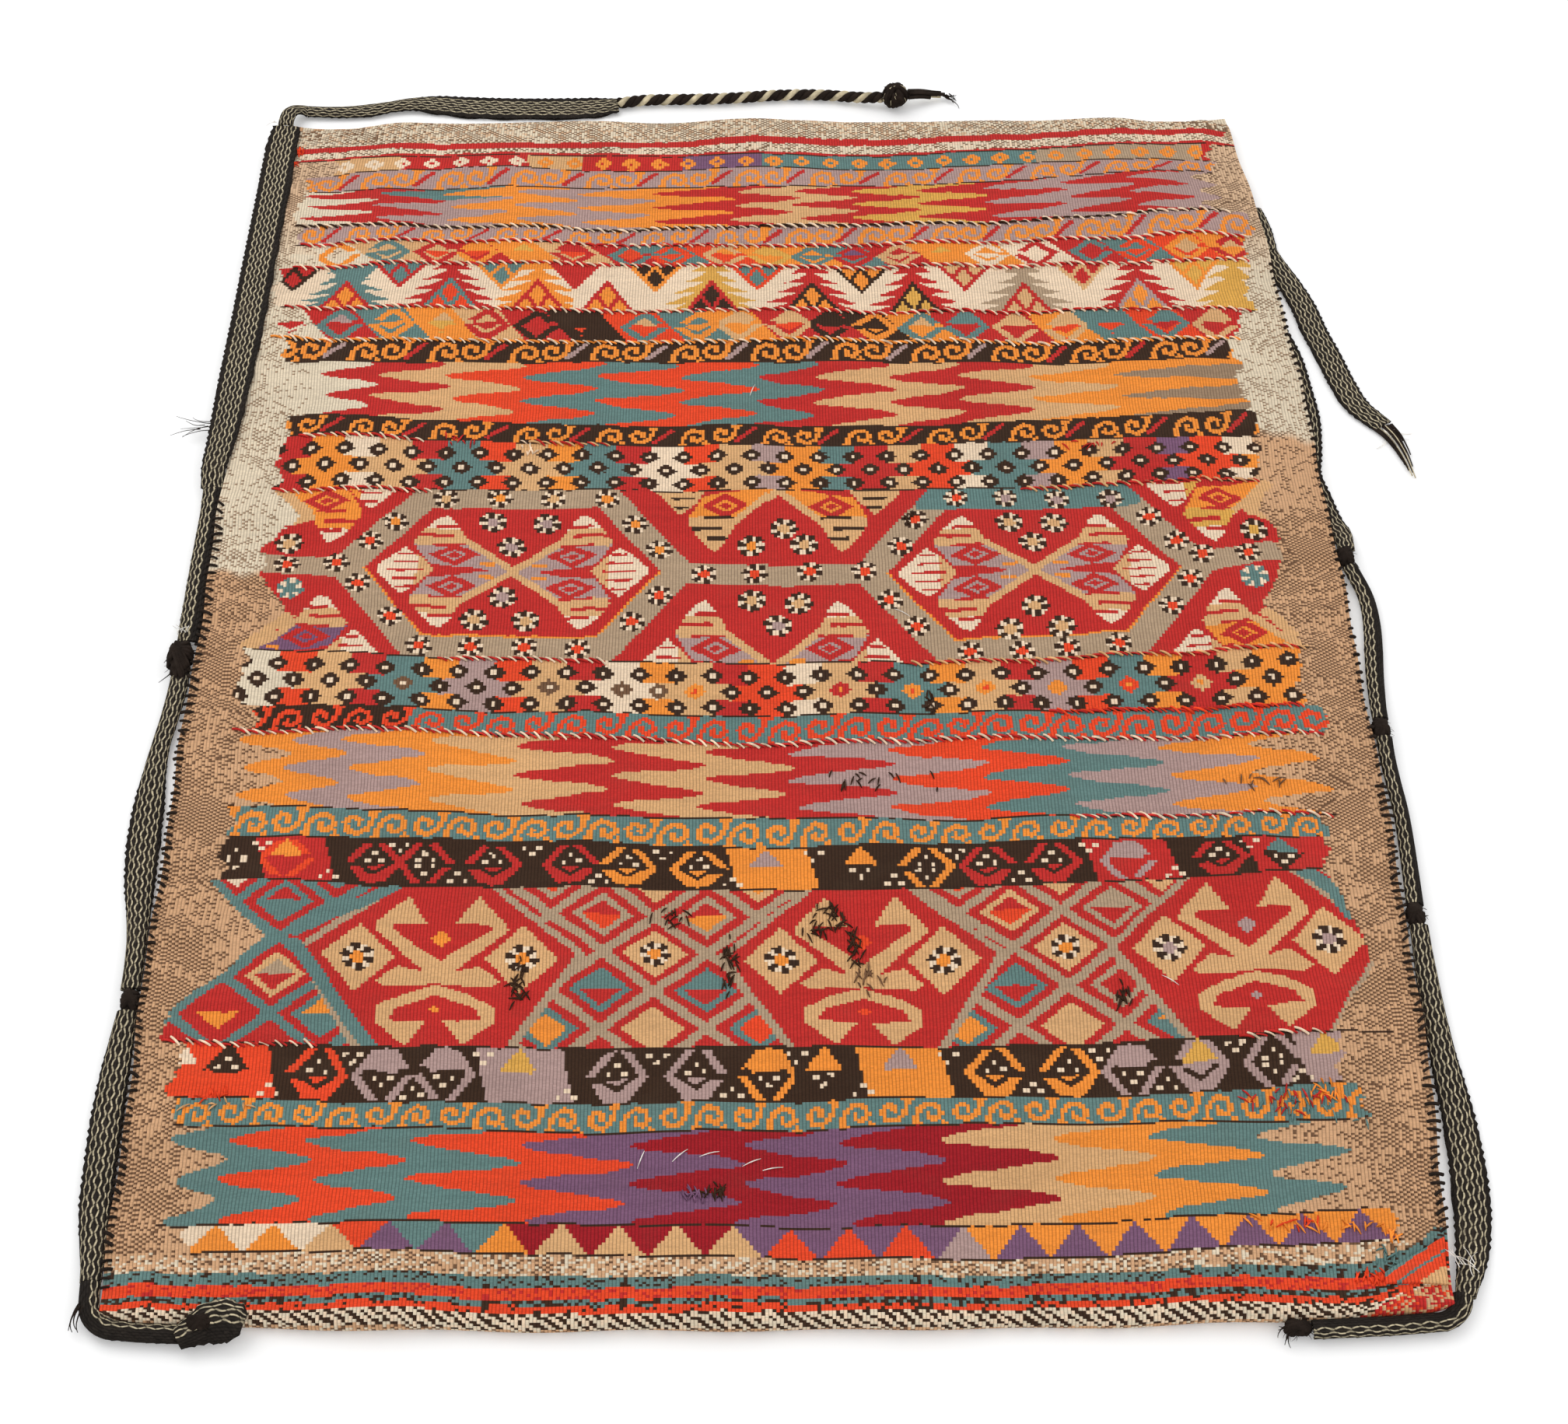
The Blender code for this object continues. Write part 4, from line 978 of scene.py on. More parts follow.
class Nodes:
    """A short way to lay out a node tree."""

    def __init__(self, tree):
        self.tree = tree

    def put(self, socket, value):
        """Feed a socket from another socket or with a value."""
        if isinstance(value, bpy.types.NodeSocket):
            self.tree.links.new(value, socket)
        elif value is not None:
            socket.default_value = value

    def add(self, kind, feeds=None, **values):
        """A node with its properties set and its sockets fed."""
        node = self.tree.nodes.new(kind)
        for name, value in values.items():
            setattr(node, name, value)
        for socket, value in (feeds or {}).items():
            self.put(node.inputs[socket], value)
        return node

    def maths(self, operation, *values):
        """The result of a Math node."""
        return self.add("ShaderNodeMath", dict(enumerate(values)), operation=operation).outputs[0]

    def plus(self, first, second):
        """The sum of two values."""
        return self.maths("ADD", first, second)

    def minus(self, first, second):
        """The difference of two values."""
        return self.maths("SUBTRACT", first, second)

    def times(self, first, second):
        """The product of two values."""
        return self.maths("MULTIPLY", first, second)

    def over(self, first, second):
        """The quotient of two values."""
        return self.maths("DIVIDE", first, second)

    def away(self, first, second):
        """The distance between two values."""
        return self.maths("ABSOLUTE", self.minus(first, second))

    def humps(self, turn):
        """0 at each half turn and 1 between, for a turn in radians."""
        return self.maths("ABSOLUTE", self.maths("SINE", turn))

    def mix(self, share, first, second):
        """A colour mix."""
        feeds = {"Factor": share, "A": first, "B": second}
        return self.add("ShaderNodeMix", feeds, data_type="RGBA", blend_type="MIX").outputs["Result"]

    def scaled(self, colour, share):
        """A colour made brighter or darker."""
        return self.add("ShaderNodeVectorMath", {0: colour, "Scale": share}, operation="SCALE").outputs[0]

    def noise(self, vector, scale, detail=2.0, stretch=None):
        """Noise on a vector, from 0 to 1."""
        if stretch:
            vector = self.add("ShaderNodeMapping", {"Vector": vector, "Scale": stretch}).outputs[0]
        return self.add("ShaderNodeTexNoise", {"Vector": vector, "Scale": scale, "Detail": detail}).outputs[0]

    def ramp(self, value, low, high, out_low=0.0, out_high=1.0):
        """A clamped map of one range to another."""
        feeds = dict(enumerate((value, low, high, out_low, out_high)))
        return self.add("ShaderNodeMapRange", feeds, clamp=True).outputs[0]

    def bump(self, height, distance, strength=None):
        """A normal raised by a height."""
        feeds = {"Strength": strength, "Distance": distance, "Height": height}
        return self.add("ShaderNodeBump", feeds).outputs[0]

    def group(self, tree, **values):
        """The outputs of a group that is placed with its own values."""
        feeds = {label.replace("_", " ").capitalize(): value for label, value in values.items()}
        return self.add("ShaderNodeGroup", feeds, node_tree=tree).outputs

    def seen(self):
        """1 where the camera sees the place itself, in a mirror or through glass, and else 0."""
        rays = self.add("ShaderNodeLightPath").outputs
        seen = self.maths("MAXIMUM", rays["Is Camera Ray"], rays["Is Glossy Ray"])
        return self.maths("MAXIMUM", seen, rays["Is Transmission Ray"])


def new_group(name, inputs, outputs):
    """An empty shader node group with named sockets: its nodes, what it is given and what it makes."""
    tree = bpy.data.node_groups.new(name, "ShaderNodeTree")
    for label, kind, default in inputs:
        socket = tree.interface.new_socket(label, in_out="INPUT", socket_type=kind)
        if default is not None:
            socket.default_value = default
    for label, kind in outputs:
        tree.interface.new_socket(label, in_out="OUTPUT", socket_type=kind)
    nodes = Nodes(tree)
    return nodes, nodes.add("NodeGroupInput").outputs, nodes.add("NodeGroupOutput").inputs


def new_material(name, gloss):
    """A rough material, its nodes and its shader."""
    material = bpy.data.materials.new(name)
    material.use_nodes = True
    shader = material.node_tree.nodes["Principled BSDF"].inputs
    shader["Roughness"].default_value = WOOL_ROUGHNESS
    shader["Specular IOR Level"].default_value = gloss
    return material, Nodes(material.node_tree), shader


def weave_group():
    """Ribs and rows of a weft-faced weave: a height, a painted shade that darkens the grooves between ribs
    and rows and lightens the rib tops a little, and a share that differs for each cell.
    """
    name = "Woven ribs"
    if name in bpy.data.node_groups:
        return bpy.data.node_groups[name]
    nodes, given, made = new_group(
        name,
        [
            ("Place", "NodeSocketVector", None),
            ("Rib", "NodeSocketFloat", 0.0022),
            ("Row", "NodeSocketFloat", 0.0009),
            ("Uneven", "NodeSocketFloat", 0.25),
        ],
        [("Height", "NodeSocketFloat"), ("Shade", "NodeSocketFloat"), ("Cell", "NodeSocketFloat")],
    )
    x, y, _ = nodes.add("ShaderNodeSeparateXYZ", {0: given["Place"]}).outputs
    waver = nodes.times(nodes.minus(nodes.noise(given["Place"], 90.0, 1.0), 0.5), given["Uneven"])
    along = nodes.plus(nodes.over(x, given["Rib"]), waver)
    rib = nodes.humps(nodes.times(along, math.pi))
    number = nodes.maths("FLOOR", along)
    shift = nodes.times(nodes.maths("MODULO", number, 2.0), 0.5)
    across = nodes.plus(nodes.over(y, given["Row"]), shift)
    row = nodes.humps(nodes.times(across, math.pi))
    tall = nodes.maths("POWER", rib, 0.55)
    height = nodes.times(tall, nodes.plus(0.72, nodes.times(row, 0.28)))
    joined = nodes.add("ShaderNodeCombineXYZ", {0: number, 1: nodes.maths("FLOOR", across)})
    white = nodes.add("ShaderNodeTexWhiteNoise", noise_dimensions="2D")
    nodes.put(white.inputs["Vector"], joined.outputs[0])
    nodes.put(made["Height"], height)
    # Shade is painted shade: the colour is darkened in the grooves between ribs and rows and lightened a
    # little on the rib tops
    nodes.put(made["Shade"], nodes.ramp(height, 0.2, 0.8, 0.62, 1.03))
    nodes.put(made["Cell"], white.outputs["Value"])
    return nodes.tree


def soil_group():
    """Uneven dye, faded patches and dirt, as a new colour."""
    name = "Dye and soil"
    if name in bpy.data.node_groups:
        return bpy.data.node_groups[name]
    nodes, given, made = new_group(
        name,
        [
            ("Colour", "NodeSocketColor", None),
            ("Place", "NodeSocketVector", None),
            ("Cell", "NodeSocketFloat", 0.5),
            ("Cell change", "NodeSocketFloat", 0.18),
            ("Dye change", "NodeSocketFloat", 0.16),
            ("Soil", "NodeSocketFloat", 0.10),
        ],
        [("Colour", "NodeSocketColor")],
    )
    place = given["Place"]
    streak = nodes.noise(place, 1.0, 3.0, (9.0, 210.0, 1.0))
    patch = nodes.noise(place, 16.0, 3.0)
    cell = nodes.times(nodes.minus(given["Cell"], 0.5), given["Cell change"])
    dye_share = nodes.minus(nodes.times(nodes.plus(streak, patch), 0.5), 0.5)
    dye_share = nodes.times(dye_share, nodes.times(given["Dye change"], 3.0))
    bright = nodes.plus(1.0, nodes.plus(cell, dye_share))
    dirt = nodes.ramp(nodes.noise(place, 34.0, 5.0), 0.52, 0.78)
    dirt = nodes.times(dirt, given["Soil"])
    soiled = nodes.mix(dirt, nodes.scaled(given["Colour"], bright), (*dye(SOIL_COLOUR), 1.0))
    nodes.put(made["Colour"], soiled)
    return nodes.tree


def woven_material(name, rib, row, relief, soil=0.10):
    """Woven wool: the yarn attribute under ribs, dye changes and soil, with painted shade in the grooves
    between the ribs.
    """
    material, nodes, shader = new_material(name, CLOTH_GLOSS)
    place = nodes.add("ShaderNodeUVMap", uv_map="woven").outputs[0]
    colour = nodes.add("ShaderNodeAttribute", attribute_name="yarn").outputs["Color"]
    weave = nodes.group(weave_group(), place=place, rib=rib, row=row)
    soiled = nodes.group(
        soil_group(), colour=colour, place=place, cell=weave["Cell"], cell_change=CELL_CHANGE, soil=soil
    )
    # The base colour is scaled by the weave's painted shade, darker in the grooves between ribs and rows
    nodes.put(shader["Base Color"], nodes.scaled(soiled["Colour"], weave["Shade"]))
    fibre = nodes.times(nodes.noise(place, 2600.0, 2.0), 0.25)
    nodes.put(shader["Normal"], nodes.bump(nodes.plus(weave["Height"], fibre), relief, 0.8))
    shader["Sheen Weight"].default_value = WOOL_SHEEN
    shader["Sheen Roughness"].default_value = WOOL_SHEEN_ROUGHNESS
    return material


def yarn_material(name, colour):
    """Loose or sewn yarn in one colour, with fine twist."""
    if name in bpy.data.materials:
        return bpy.data.materials[name]
    material, nodes, shader = new_material(name, YARN_GLOSS)
    place = nodes.add("ShaderNodeTexCoord").outputs["Object"]
    tone = nodes.ramp(nodes.noise(place, 130.0, 3.0), 0.3, 0.7, 0.6, 1.35)
    nodes.put(shader["Base Color"], nodes.scaled(colour, tone))
    nodes.put(shader["Normal"], nodes.bump(nodes.noise(place, 900.0, 3.0), 0.0006))
    return material


def loose(*names):
    """Materials of loose yarns, by their names."""
    return [yarn_material(name, dye(LOOSE_YARNS[name])) for name in names]


# Routes and bands

def spline_points(points, pitch):
    """Points about pitch apart on a smooth curve through the given ones, with their place along them."""
    ends = [Vector(p) for p in points]
    padded = [2 * ends[0] - ends[1], *ends, 2 * ends[-1] - ends[-2]]
    found = []
    for i in range(len(ends) - 1):
        a, b, c, d = padded[i : i + 4]
        steps = max(1, round((c - b).length / pitch))
        for k in range(steps):
            t = k / steps
            curve = 2 * b + (c - a) * t + (2 * a - 5 * b + 4 * c - d) * t**2
            found.append((0.5 * (curve + (3 * b - a - 3 * c + d) * t**3), i + t))
    found.append((ends[-1], float(len(ends) - 1)))
    return found


def between(values, place):
    """A list's value at a fractional place."""
    low = min(int(place), len(values) - 2)
    return values[low] + (values[low + 1] - values[low]) * (place - low)


def heading(points):
    """The unit direction of travel at each point."""
    found = []
    for i in range(len(points)):
        ahead, behind = points[min(i + 1, len(points) - 1)], points[max(i - 1, 0)]
        found.append((ahead - behind).normalized())
    return found


def curl(share):
    """Half the angle that a band bends round when it is gathered to a share of its width."""
    angle = math.sqrt(6 * max(1 - share, 0.002))
    for _ in range(6):
        slope = (math.cos(angle) - math.sin(angle) / angle) / angle
        angle -= (math.sin(angle) / angle - share) / slope
    return angle


BAND_PITCH = 0.0028
BAND_SKIN = 0.42
BAND_JAG, BAND_JAG_PACE = 0.0008, 950


def ribbon(name, route, shares, rolls=None, slide=0.0):
    """A woven band along a route, gathered into a fold where its share is small."""
    bands = settings("bands")
    columns = bands.columns
    skin = bands.thickness * BAND_SKIN
    sampled = spline_points(route, BAND_PITCH)
    if len(sampled) % 2 == 0:
        sampled.insert(1, (sampled[0][0].lerp(sampled[1][0], 0.5), (sampled[0][1] + sampled[1][1]) / 2))
    points = [p for p, _ in sampled]
    outer, inner, places = [], [], []
    run = 0.0
    for i, ((point, place), way) in enumerate(zip(sampled, heading(points))):
        run += (point - points[i - 1]).length if i else 0.0
        share = min(between(shares, place), 0.985)
        depth = min(bands.thickness / share, 2 * point.z - 0.0002) - 2 * skin
        roll = math.radians(between(rolls, place)) if rolls else 0.0
        side = Matrix.Rotation(roll, 3, way) @ Vector((way.y, -way.x, 0.0)).normalized()
        up = side.cross(way).normalized()
        angle = curl(share)
        radius = bands.width / 2 / angle
        high = radius * (1 - math.cos(angle))
        gather = min(1.0, share * angle) if angle > math.pi / 2 else 1.0
        flat = min(1.0, depth / max(high, 1e-6))
        ring, lining = [], []
        for k in range(columns + 1):
            a = angle * (2 * k / columns - 1)
            across = radius * math.sin(a) * gather
            rise = (radius * math.cos(a) - radius + high) * flat - depth / 2
            normal = (side * math.sin(a) * flat + up * max(math.cos(a), 0.15)).normalized()
            jag = BAND_JAG * math.sin(run * BAND_JAG_PACE + k) if k in (0, columns) else 0.0
            middle = point + side * (across + jag) + up * rise
            ring.append(middle + normal * skin)
            lining.append(middle - normal * skin)
        outer.append(ring)
        inner.append(lining)
        places.append([(bands.width * (k / columns + slide), run) for k in range(columns + 1)])
    outer, inner = np.array(outer)[:, ::-1], np.array(inner)[:, ::-1]
    ground = np.broadcast_to(settings("yarns").night, (len(points) - 1, columns, 3))
    ob = shell(name, outer, inner[::2, ::2], ground, np.array(places))
    ob.data.materials.append(band_material())
    return ob, points


def band_figure():
    """Three chains of dark ovals between wavy pale lines, as a share of pale yarn and a height."""
    name = "Band figure"
    if name in bpy.data.node_groups:
        return bpy.data.node_groups[name]
    nodes, given, made = new_group(
        name,
        [
            ("Place", "NodeSocketVector", None),
            ("Width", "NodeSocketFloat", 0.028),
            ("Oval", "NodeSocketFloat", 0.0105),
            ("Line", "NodeSocketFloat", 0.024),
        ],
        [("Pale", "NodeSocketFloat"), ("Height", "NodeSocketFloat")],
    )
    wander = nodes.times(nodes.minus(nodes.noise(given["Place"], 160.0), 0.5), 0.05)
    x, y, _ = nodes.add("ShaderNodeSeparateXYZ", {0: given["Place"]}).outputs
    across = nodes.plus(nodes.over(x, given["Width"]), wander)
    turn = nodes.over(nodes.times(y, 2 * math.pi), given["Oval"])
    swing = nodes.times(nodes.maths("SINE", turn), 0.024)
    away = None
    for centre, sign in ((0.26, 1.0), (0.50, -1.0), (0.74, 1.0)):
        reach = nodes.plus(nodes.times(swing, sign), 0.058)
        gap = nodes.away(nodes.away(across, centre), reach)
        away = gap if away is None else nodes.maths("MINIMUM", away, gap)
    joint = nodes.humps(nodes.plus(turn, nodes.times(across, 9.0)))
    thick = nodes.times(given["Line"], nodes.ramp(joint, 0.0, 0.5, 0.35, 1.0))
    pale = nodes.ramp(nodes.minus(away, thick), -0.012, 0.006, 1.0, 0.0)
    twist = nodes.maths("SINE", nodes.plus(nodes.times(turn, 1.7), nodes.times(across, 30.0)))
    edge = nodes.ramp(nodes.away(across, 0.5), 0.34, 0.37)
    ridge = nodes.times(nodes.times(twist, edge), 0.6)
    nodes.put(made["Pale"], pale)
    nodes.put(made["Height"], nodes.plus(nodes.times(pale, 0.6), ridge))
    return nodes.tree


def band_material():
    """Dark wool bands with pale wavy lines."""
    name = "Band wool"
    if name in bpy.data.materials:
        return bpy.data.materials[name]
    material, nodes, shader = new_material(name, CLOTH_GLOSS)
    place = nodes.add("ShaderNodeUVMap", uv_map="woven").outputs[0]
    dark = nodes.add("ShaderNodeAttribute", attribute_name="yarn").outputs["Color"]
    figure = nodes.group(band_figure(), place=place)
    worn = nodes.ramp(nodes.noise(place, 60.0, 3.0), 0.62, 0.75, 1.0, 0.35)
    coloured = nodes.mix(nodes.times(figure["Pale"], worn), dark, (*settings("yarns").linen, 1.0))
    weave = nodes.group(weave_group(), place=place, rib=0.0021, row=0.0035)
    soiled = nodes.group(
        soil_group(),
        colour=coloured,
        place=place,
        cell=weave["Cell"],
        cell_change=0.4,
        dye_change=0.25,
        soil=0.12,
    )
    # The base colour is scaled by the weave's painted shade, darker in the grooves between ribs and rows
    nodes.put(shader["Base Color"], nodes.scaled(soiled["Colour"], weave["Shade"]))
    fibre = nodes.times(nodes.noise(place, 1800.0, 2.0), 0.3)
    height = nodes.plus(nodes.times(weave["Height"], 0.5), figure["Height"])
    nodes.put(shader["Normal"], nodes.bump(nodes.plus(height, fibre), 0.0012))
    return material


def tube(points, radii, sides=6):
    """Vertices and faces of a closed tube along points."""
    ways = heading(points)
    vertices, faces = [], []
    normal = ways[0].orthogonal().normalized()
    for point, way, radius in zip(points, ways, radii):
        normal = (normal - way * normal.dot(way)).normalized()
        other = way.cross(normal)
        for k in range(sides):
            angle = 2 * math.pi * k / sides
            vertices.append(point + (normal * math.cos(angle) + other * math.sin(angle)) * radius)
    count = len(points)
    for i in range(count - 1):
        for k in range(sides):
            n = (k + 1) % sides
            faces.append((i * sides + k, i * sides + n, (i + 1) * sides + n, (i + 1) * sides + k))
    faces.append(tuple(reversed(range(sides))))
    faces.append(tuple((count - 1) * sides + k for k in range(sides)))
    return vertices, faces


def yarn_mesh(name, strands, materials):
    """One mesh of many tubes. Each strand is its points, radii, material number and sides."""
    vertices, faces, slots = [], [], []
    for points, radii, slot_number, sides in strands:
        found, skin = tube(points, radii, sides)
        start = len(vertices)
        vertices += found
        faces += [tuple(start + i for i in face) for face in skin]
        slots += [slot_number] * len(skin)
    mesh = bpy.data.meshes.new(name)
    mesh.from_pydata([tuple(v) for v in vertices], [], faces)
    mesh.polygons.foreach_set("material_index", slots)
    mesh.shade_smooth()
    for material in materials:
        mesh.materials.append(material)
    return add_object(name, mesh)


def letter_yarn(letter):
    """Material of loose yarn in one of the cloth's colours."""
    name = YARN_NAMES[code(letter)]
    return yarn_material(f"Loose {name} yarn", tuple(getattr(settings("yarns"), name)))


def join(name, parts, material):
    """One object of one material from several."""
    shape = bmesh.new()
    for part in parts:
        shape.from_mesh(part.data)
    for face in shape.faces:
        face.material_index = 0
    mesh = bpy.data.meshes.new(name)
    shape.to_mesh(mesh)
    shape.free()
    mesh.shade_smooth()
    for part in parts:
        bpy.data.objects.remove(part)
    return add_object(name, mesh, material)


def twisted(name, route, radius, turn, strands):
    """A cord laid up from strands, dark and pale."""
    points = [p for p, _ in spline_points(route, turn / 14)]
    ways = heading(points)
    rows = []
    strand = radius * 0.50
    for number in range(strands):
        run, line = 0.0, []
        for i, (point, way) in enumerate(zip(points, ways)):
            run += (point - points[i - 1]).length if i else 0.0
            side = way.cross(Vector((0, 0, 1))).normalized()
            up = side.cross(way)
            angle = 2 * math.pi * (run / turn + number / strands)
            reach = radius - strand
            line.append(point + side * math.cos(angle) * reach + up * math.sin(angle) * reach)
        rows.append((line, [strand] * len(line), 1 if number == 0 else 0, 8))
    return yarn_mesh(name, rows, loose("Dark yarn", "Pale yarn")), points


# Shares of a knot's radii at which its core, its loose ends and its short fibres lie
CORE_SHARE, END_SHARE, FUZZ_SHARE = 0.82, 0.8, 0.93
KNOT_END_LENGTH, KNOT_END_SPREAD, KNOT_END_RADIUS = 0.011, 0.001, 0.0005
FUZZ_LENGTH, FUZZ_RADIUS = 0.0055, 0.00022
DENT = 0.10
TURN_STEPS = 20
LOWEST = 0.0002


def lump(name, centre, radii, turns=7, yarn=0.0017, pale=0, ends=0, fuzz=26):
    """A knot or a tack: yarn wound over a closed core, with loose ends and short fibres."""
    rng = random.Random(name)
    centre = Vector(centre)
    rows = []
    for number in range(turns):
        tilt = Matrix.Rotation(rng.uniform(-0.9, 0.9), 3, "Z")
        tilt = tilt @ Matrix.Rotation(rng.uniform(-0.5, 0.5), 3, "Y")
        lean = rng.uniform(-0.35, 0.35)
        line = []
        for step in range(TURN_STEPS + 1):
            angle = 2 * math.pi * step / TURN_STEPS
            unit = tilt @ Vector((math.cos(angle), lean, math.sin(angle))).normalized()
            unit *= rng.uniform(0.94, 1.03)
            line.append(centre + Vector(u * r for u, r in zip(unit, radii)) * (1 - yarn / max(radii)))
        rows.append((line, [yarn * rng.uniform(0.75, 1.15) for _ in line], 1 if number < pale else 0, 6))
    for _ in range(ends):
        angle = rng.uniform(0, 2 * math.pi)
        way = Vector((math.cos(angle), math.sin(angle), 0.0))
        start = centre + Vector(u * r for u, r in zip(way, radii)) * END_SHARE
        rows += strands(start, way, 1, KNOT_END_LENGTH, KNOT_END_SPREAD, KNOT_END_RADIUS, rng)
    for _ in range(fuzz):
        way = Vector((rng.gauss(0, 1), rng.gauss(0, 1), abs(rng.gauss(0, 0.7)))).normalized()
        start = centre + Vector(u * r for u, r in zip(way, radii)) * FUZZ_SHARE
        rows += strands(start, way, 1, FUZZ_LENGTH, 0.0, FUZZ_RADIUS, rng, (0, 0, 0, 1) if pale else (0,))
    ob = yarn_mesh(name, rows, loose("Dark yarn", "Pale yarn"))
    shape = bmesh.new()
    shape.from_mesh(ob.data)
    place = Matrix.Translation(centre) @ Matrix.Diagonal((*[r * CORE_SHARE for r in radii], 1.0))
    core = bmesh.ops.create_icosphere(shape, subdivisions=4, radius=1.0, matrix=place)["verts"]
    for vertex in core:
        away = vertex.co - centre
        dent = math.sin(820 * away.x + 3) * math.sin(690 * away.y + 1)
        dent += 0.6 * math.sin(1500 * away.z + 900 * away.x)
        vertex.co = centre + away * (1 + DENT * dent)
    for vertex in shape.verts:
        vertex.co.z = max(vertex.co.z, LOWEST)
    shape.to_mesh(ob.data)
    shape.free()
    ob.data.shade_smooth()
    return ob


def strands(start, way, count, long, spread, radius, rng, colours=(0,), low=0.0006):
    """Loose yarn ends that fan out along a direction."""
    rows = []
    for _ in range(count):
        point = Vector(start) + Vector((rng.uniform(-1, 1), rng.uniform(-1, 1), 0)) * spread * 0.5
        direction = Vector(way).normalized()
        reach = long * rng.uniform(0.45, 1.0)
        line, steps = [point.copy()], 9
        bend = rng.uniform(-1, 1) * 0.16
        for _ in range(steps):
            direction = (Matrix.Rotation(bend + rng.uniform(-0.12, 0.12), 3, "Z") @ direction).normalized()
            point = point + direction * reach / steps
            point.z = max(point.z - 0.0004, low)
            line.append(point.copy())
        thin = [radius * (1 - 0.6 * i / steps) for i in range(steps + 1)]
        rows.append((line, thin, rng.choice(colours), 5))
    return rows


# Geometry Nodes for what repeats along a line

def stitch_tree():
    """Stitches along a line: an arched yarn at every pitch, turned across the line."""
    name = "Stitches along a line"
    if name in bpy.data.node_groups:
        return bpy.data.node_groups[name]
    tree = bpy.data.node_groups.new(name, "GeometryNodeTree")
    tree.interface.new_socket("Geometry", in_out="INPUT", socket_type="NodeSocketGeometry")
    for label, default in (
        ("Pitch", 0.0085),
        ("Reach", 0.007),
        ("Rise", 0.0012),
        ("Yarn radius", 0.0006),
        ("Slant", 0.35),
        ("Uneven", 0.3),
    ):
        socket = tree.interface.new_socket(label, in_out="INPUT", socket_type="NodeSocketFloat")
        socket.default_value = default
    socket = tree.interface.new_socket("Seed", in_out="INPUT", socket_type="NodeSocketInt")
    tree.interface.new_socket("Material", in_out="INPUT", socket_type="NodeSocketMaterial")
    tree.interface.new_socket("Geometry", in_out="OUTPUT", socket_type="NodeSocketGeometry")
    nodes = Nodes(tree)
    given = nodes.add("NodeGroupInput").outputs
    line = nodes.add("GeometryNodeMeshToCurve", {"Mesh": given["Geometry"]})
    feeds = {"Curve": line.outputs[0], "Length": given["Pitch"]}
    points = nodes.add("GeometryNodeCurveToPoints", feeds, mode="LENGTH")
    arch = nodes.add("GeometryNodeCurveQuadraticBezier", {"Resolution": 6})
    half = nodes.times(given["Reach"], 0.5)
    less = nodes.times(given["Reach"], -0.5)
    for label, along, rise in (("Start", less, 0.0), ("Middle", 0.0, given["Rise"]), ("End", half, 0.0)):
        place = nodes.add("ShaderNodeCombineXYZ", {0: along, 2: nodes.times(rise, 2.0)})
        nodes.put(arch.inputs[label], place.outputs[0])
    profile = nodes.add("GeometryNodeCurvePrimitiveCircle", {"Resolution": 6, "Radius": given["Yarn radius"]})
    solid = nodes.add(
        "GeometryNodeCurveToMesh",
        {"Curve": arch.outputs[0], "Profile Curve": profile.outputs[0], "Fill Caps": True},
    )
    facing = nodes.add(
        "FunctionNodeAlignEulerToVector", {"Vector": points.outputs["Tangent"]}, axis="Y", pivot_axis="Z"
    )
    least, most = nodes.minus(given["Slant"], given["Uneven"]), nodes.plus(given["Slant"], given["Uneven"])
    feeds = {2: least, 3: most, "Seed": given["Seed"]}
    lean = nodes.add("FunctionNodeRandomValue", feeds, data_type="FLOAT")
    spin = nodes.add("ShaderNodeCombineXYZ", {2: lean.outputs[1]})
    feeds = {"Rotation": facing.outputs[0], "Rotate By": spin.outputs[0]}
    turned = nodes.add("FunctionNodeRotateEuler", feeds, space="LOCAL")
    feeds = {2: 0.75, 3: 1.15, "Seed": nodes.plus(given["Seed"], 5.0)}
    grow = nodes.add("FunctionNodeRandomValue", feeds, data_type="FLOAT")
    copies = nodes.add(
        "GeometryNodeInstanceOnPoints",
        {
            "Points": points.outputs[0],
            "Instance": solid.outputs[0],
            "Rotation": turned.outputs[0],
            "Scale": grow.outputs[1],
        },
    )
    real = nodes.add("GeometryNodeRealizeInstances", {0: copies.outputs[0]})
    feeds = {"Geometry": real.outputs[0], "Material": given["Material"]}
    finish = nodes.add("GeometryNodeSetMaterial", feeds)
    nodes.add("NodeGroupOutput", {0: finish.outputs[0]})
    return tree


def stitched(name, lines, material, **values):
    """A plain mesh of stitches along one or more lines of points."""
    vertices, edges = [], []
    for line in lines:
        first = len(vertices)
        vertices += [tuple(p) for p in line]
        edges += [(first + i, first + i + 1) for i in range(len(line) - 1)]
    mesh = bpy.data.meshes.new(name)
    mesh.from_pydata(vertices, edges, [])
    guide = add_object(f"{name}_guide", mesh)
    modifier = guide.modifiers.new("Stitches", "NODES")
    modifier.node_group = stitch_tree()
    items = modifier.node_group.interface.items_tree
    sockets = {item.name: item.identifier for item in items if item.in_out == "INPUT"}
    for label, value in {**values, "Material": material}.items():
        modifier[sockets[label.replace("_", " ")]] = value
    bpy.context.view_layer.update()
    made = bpy.data.meshes.new_from_object(guide.evaluated_get(bpy.context.evaluated_depsgraph_get()))
    made.name = name
    made.shade_smooth()
    bpy.data.objects.remove(guide)
    return add_object(name, made)


# Operators

class Step(bpy.types.Operator):
    """Shared settings of the operators that build one group of pieces."""

    bl_options = {"REGISTER", "UNDO"}

    def execute(self, context):
        """Build the pieces, or fail loudly."""
        self.build()
        return {"FINISHED"}


def front_cloth_material():
    """The patterned cloth."""
    cloth = settings("cloth")
    name = "Patterned cloth"
    if name in bpy.data.materials:
        return bpy.data.materials[name]
    return woven_material(name, cloth.rib, cloth.row * 0.5, cloth.rib_relief)


def cell_middles(grid):
    """Values at the middles of a grid's cells."""
    return (grid[:-1, :-1] + grid[1:, 1:]) / 2


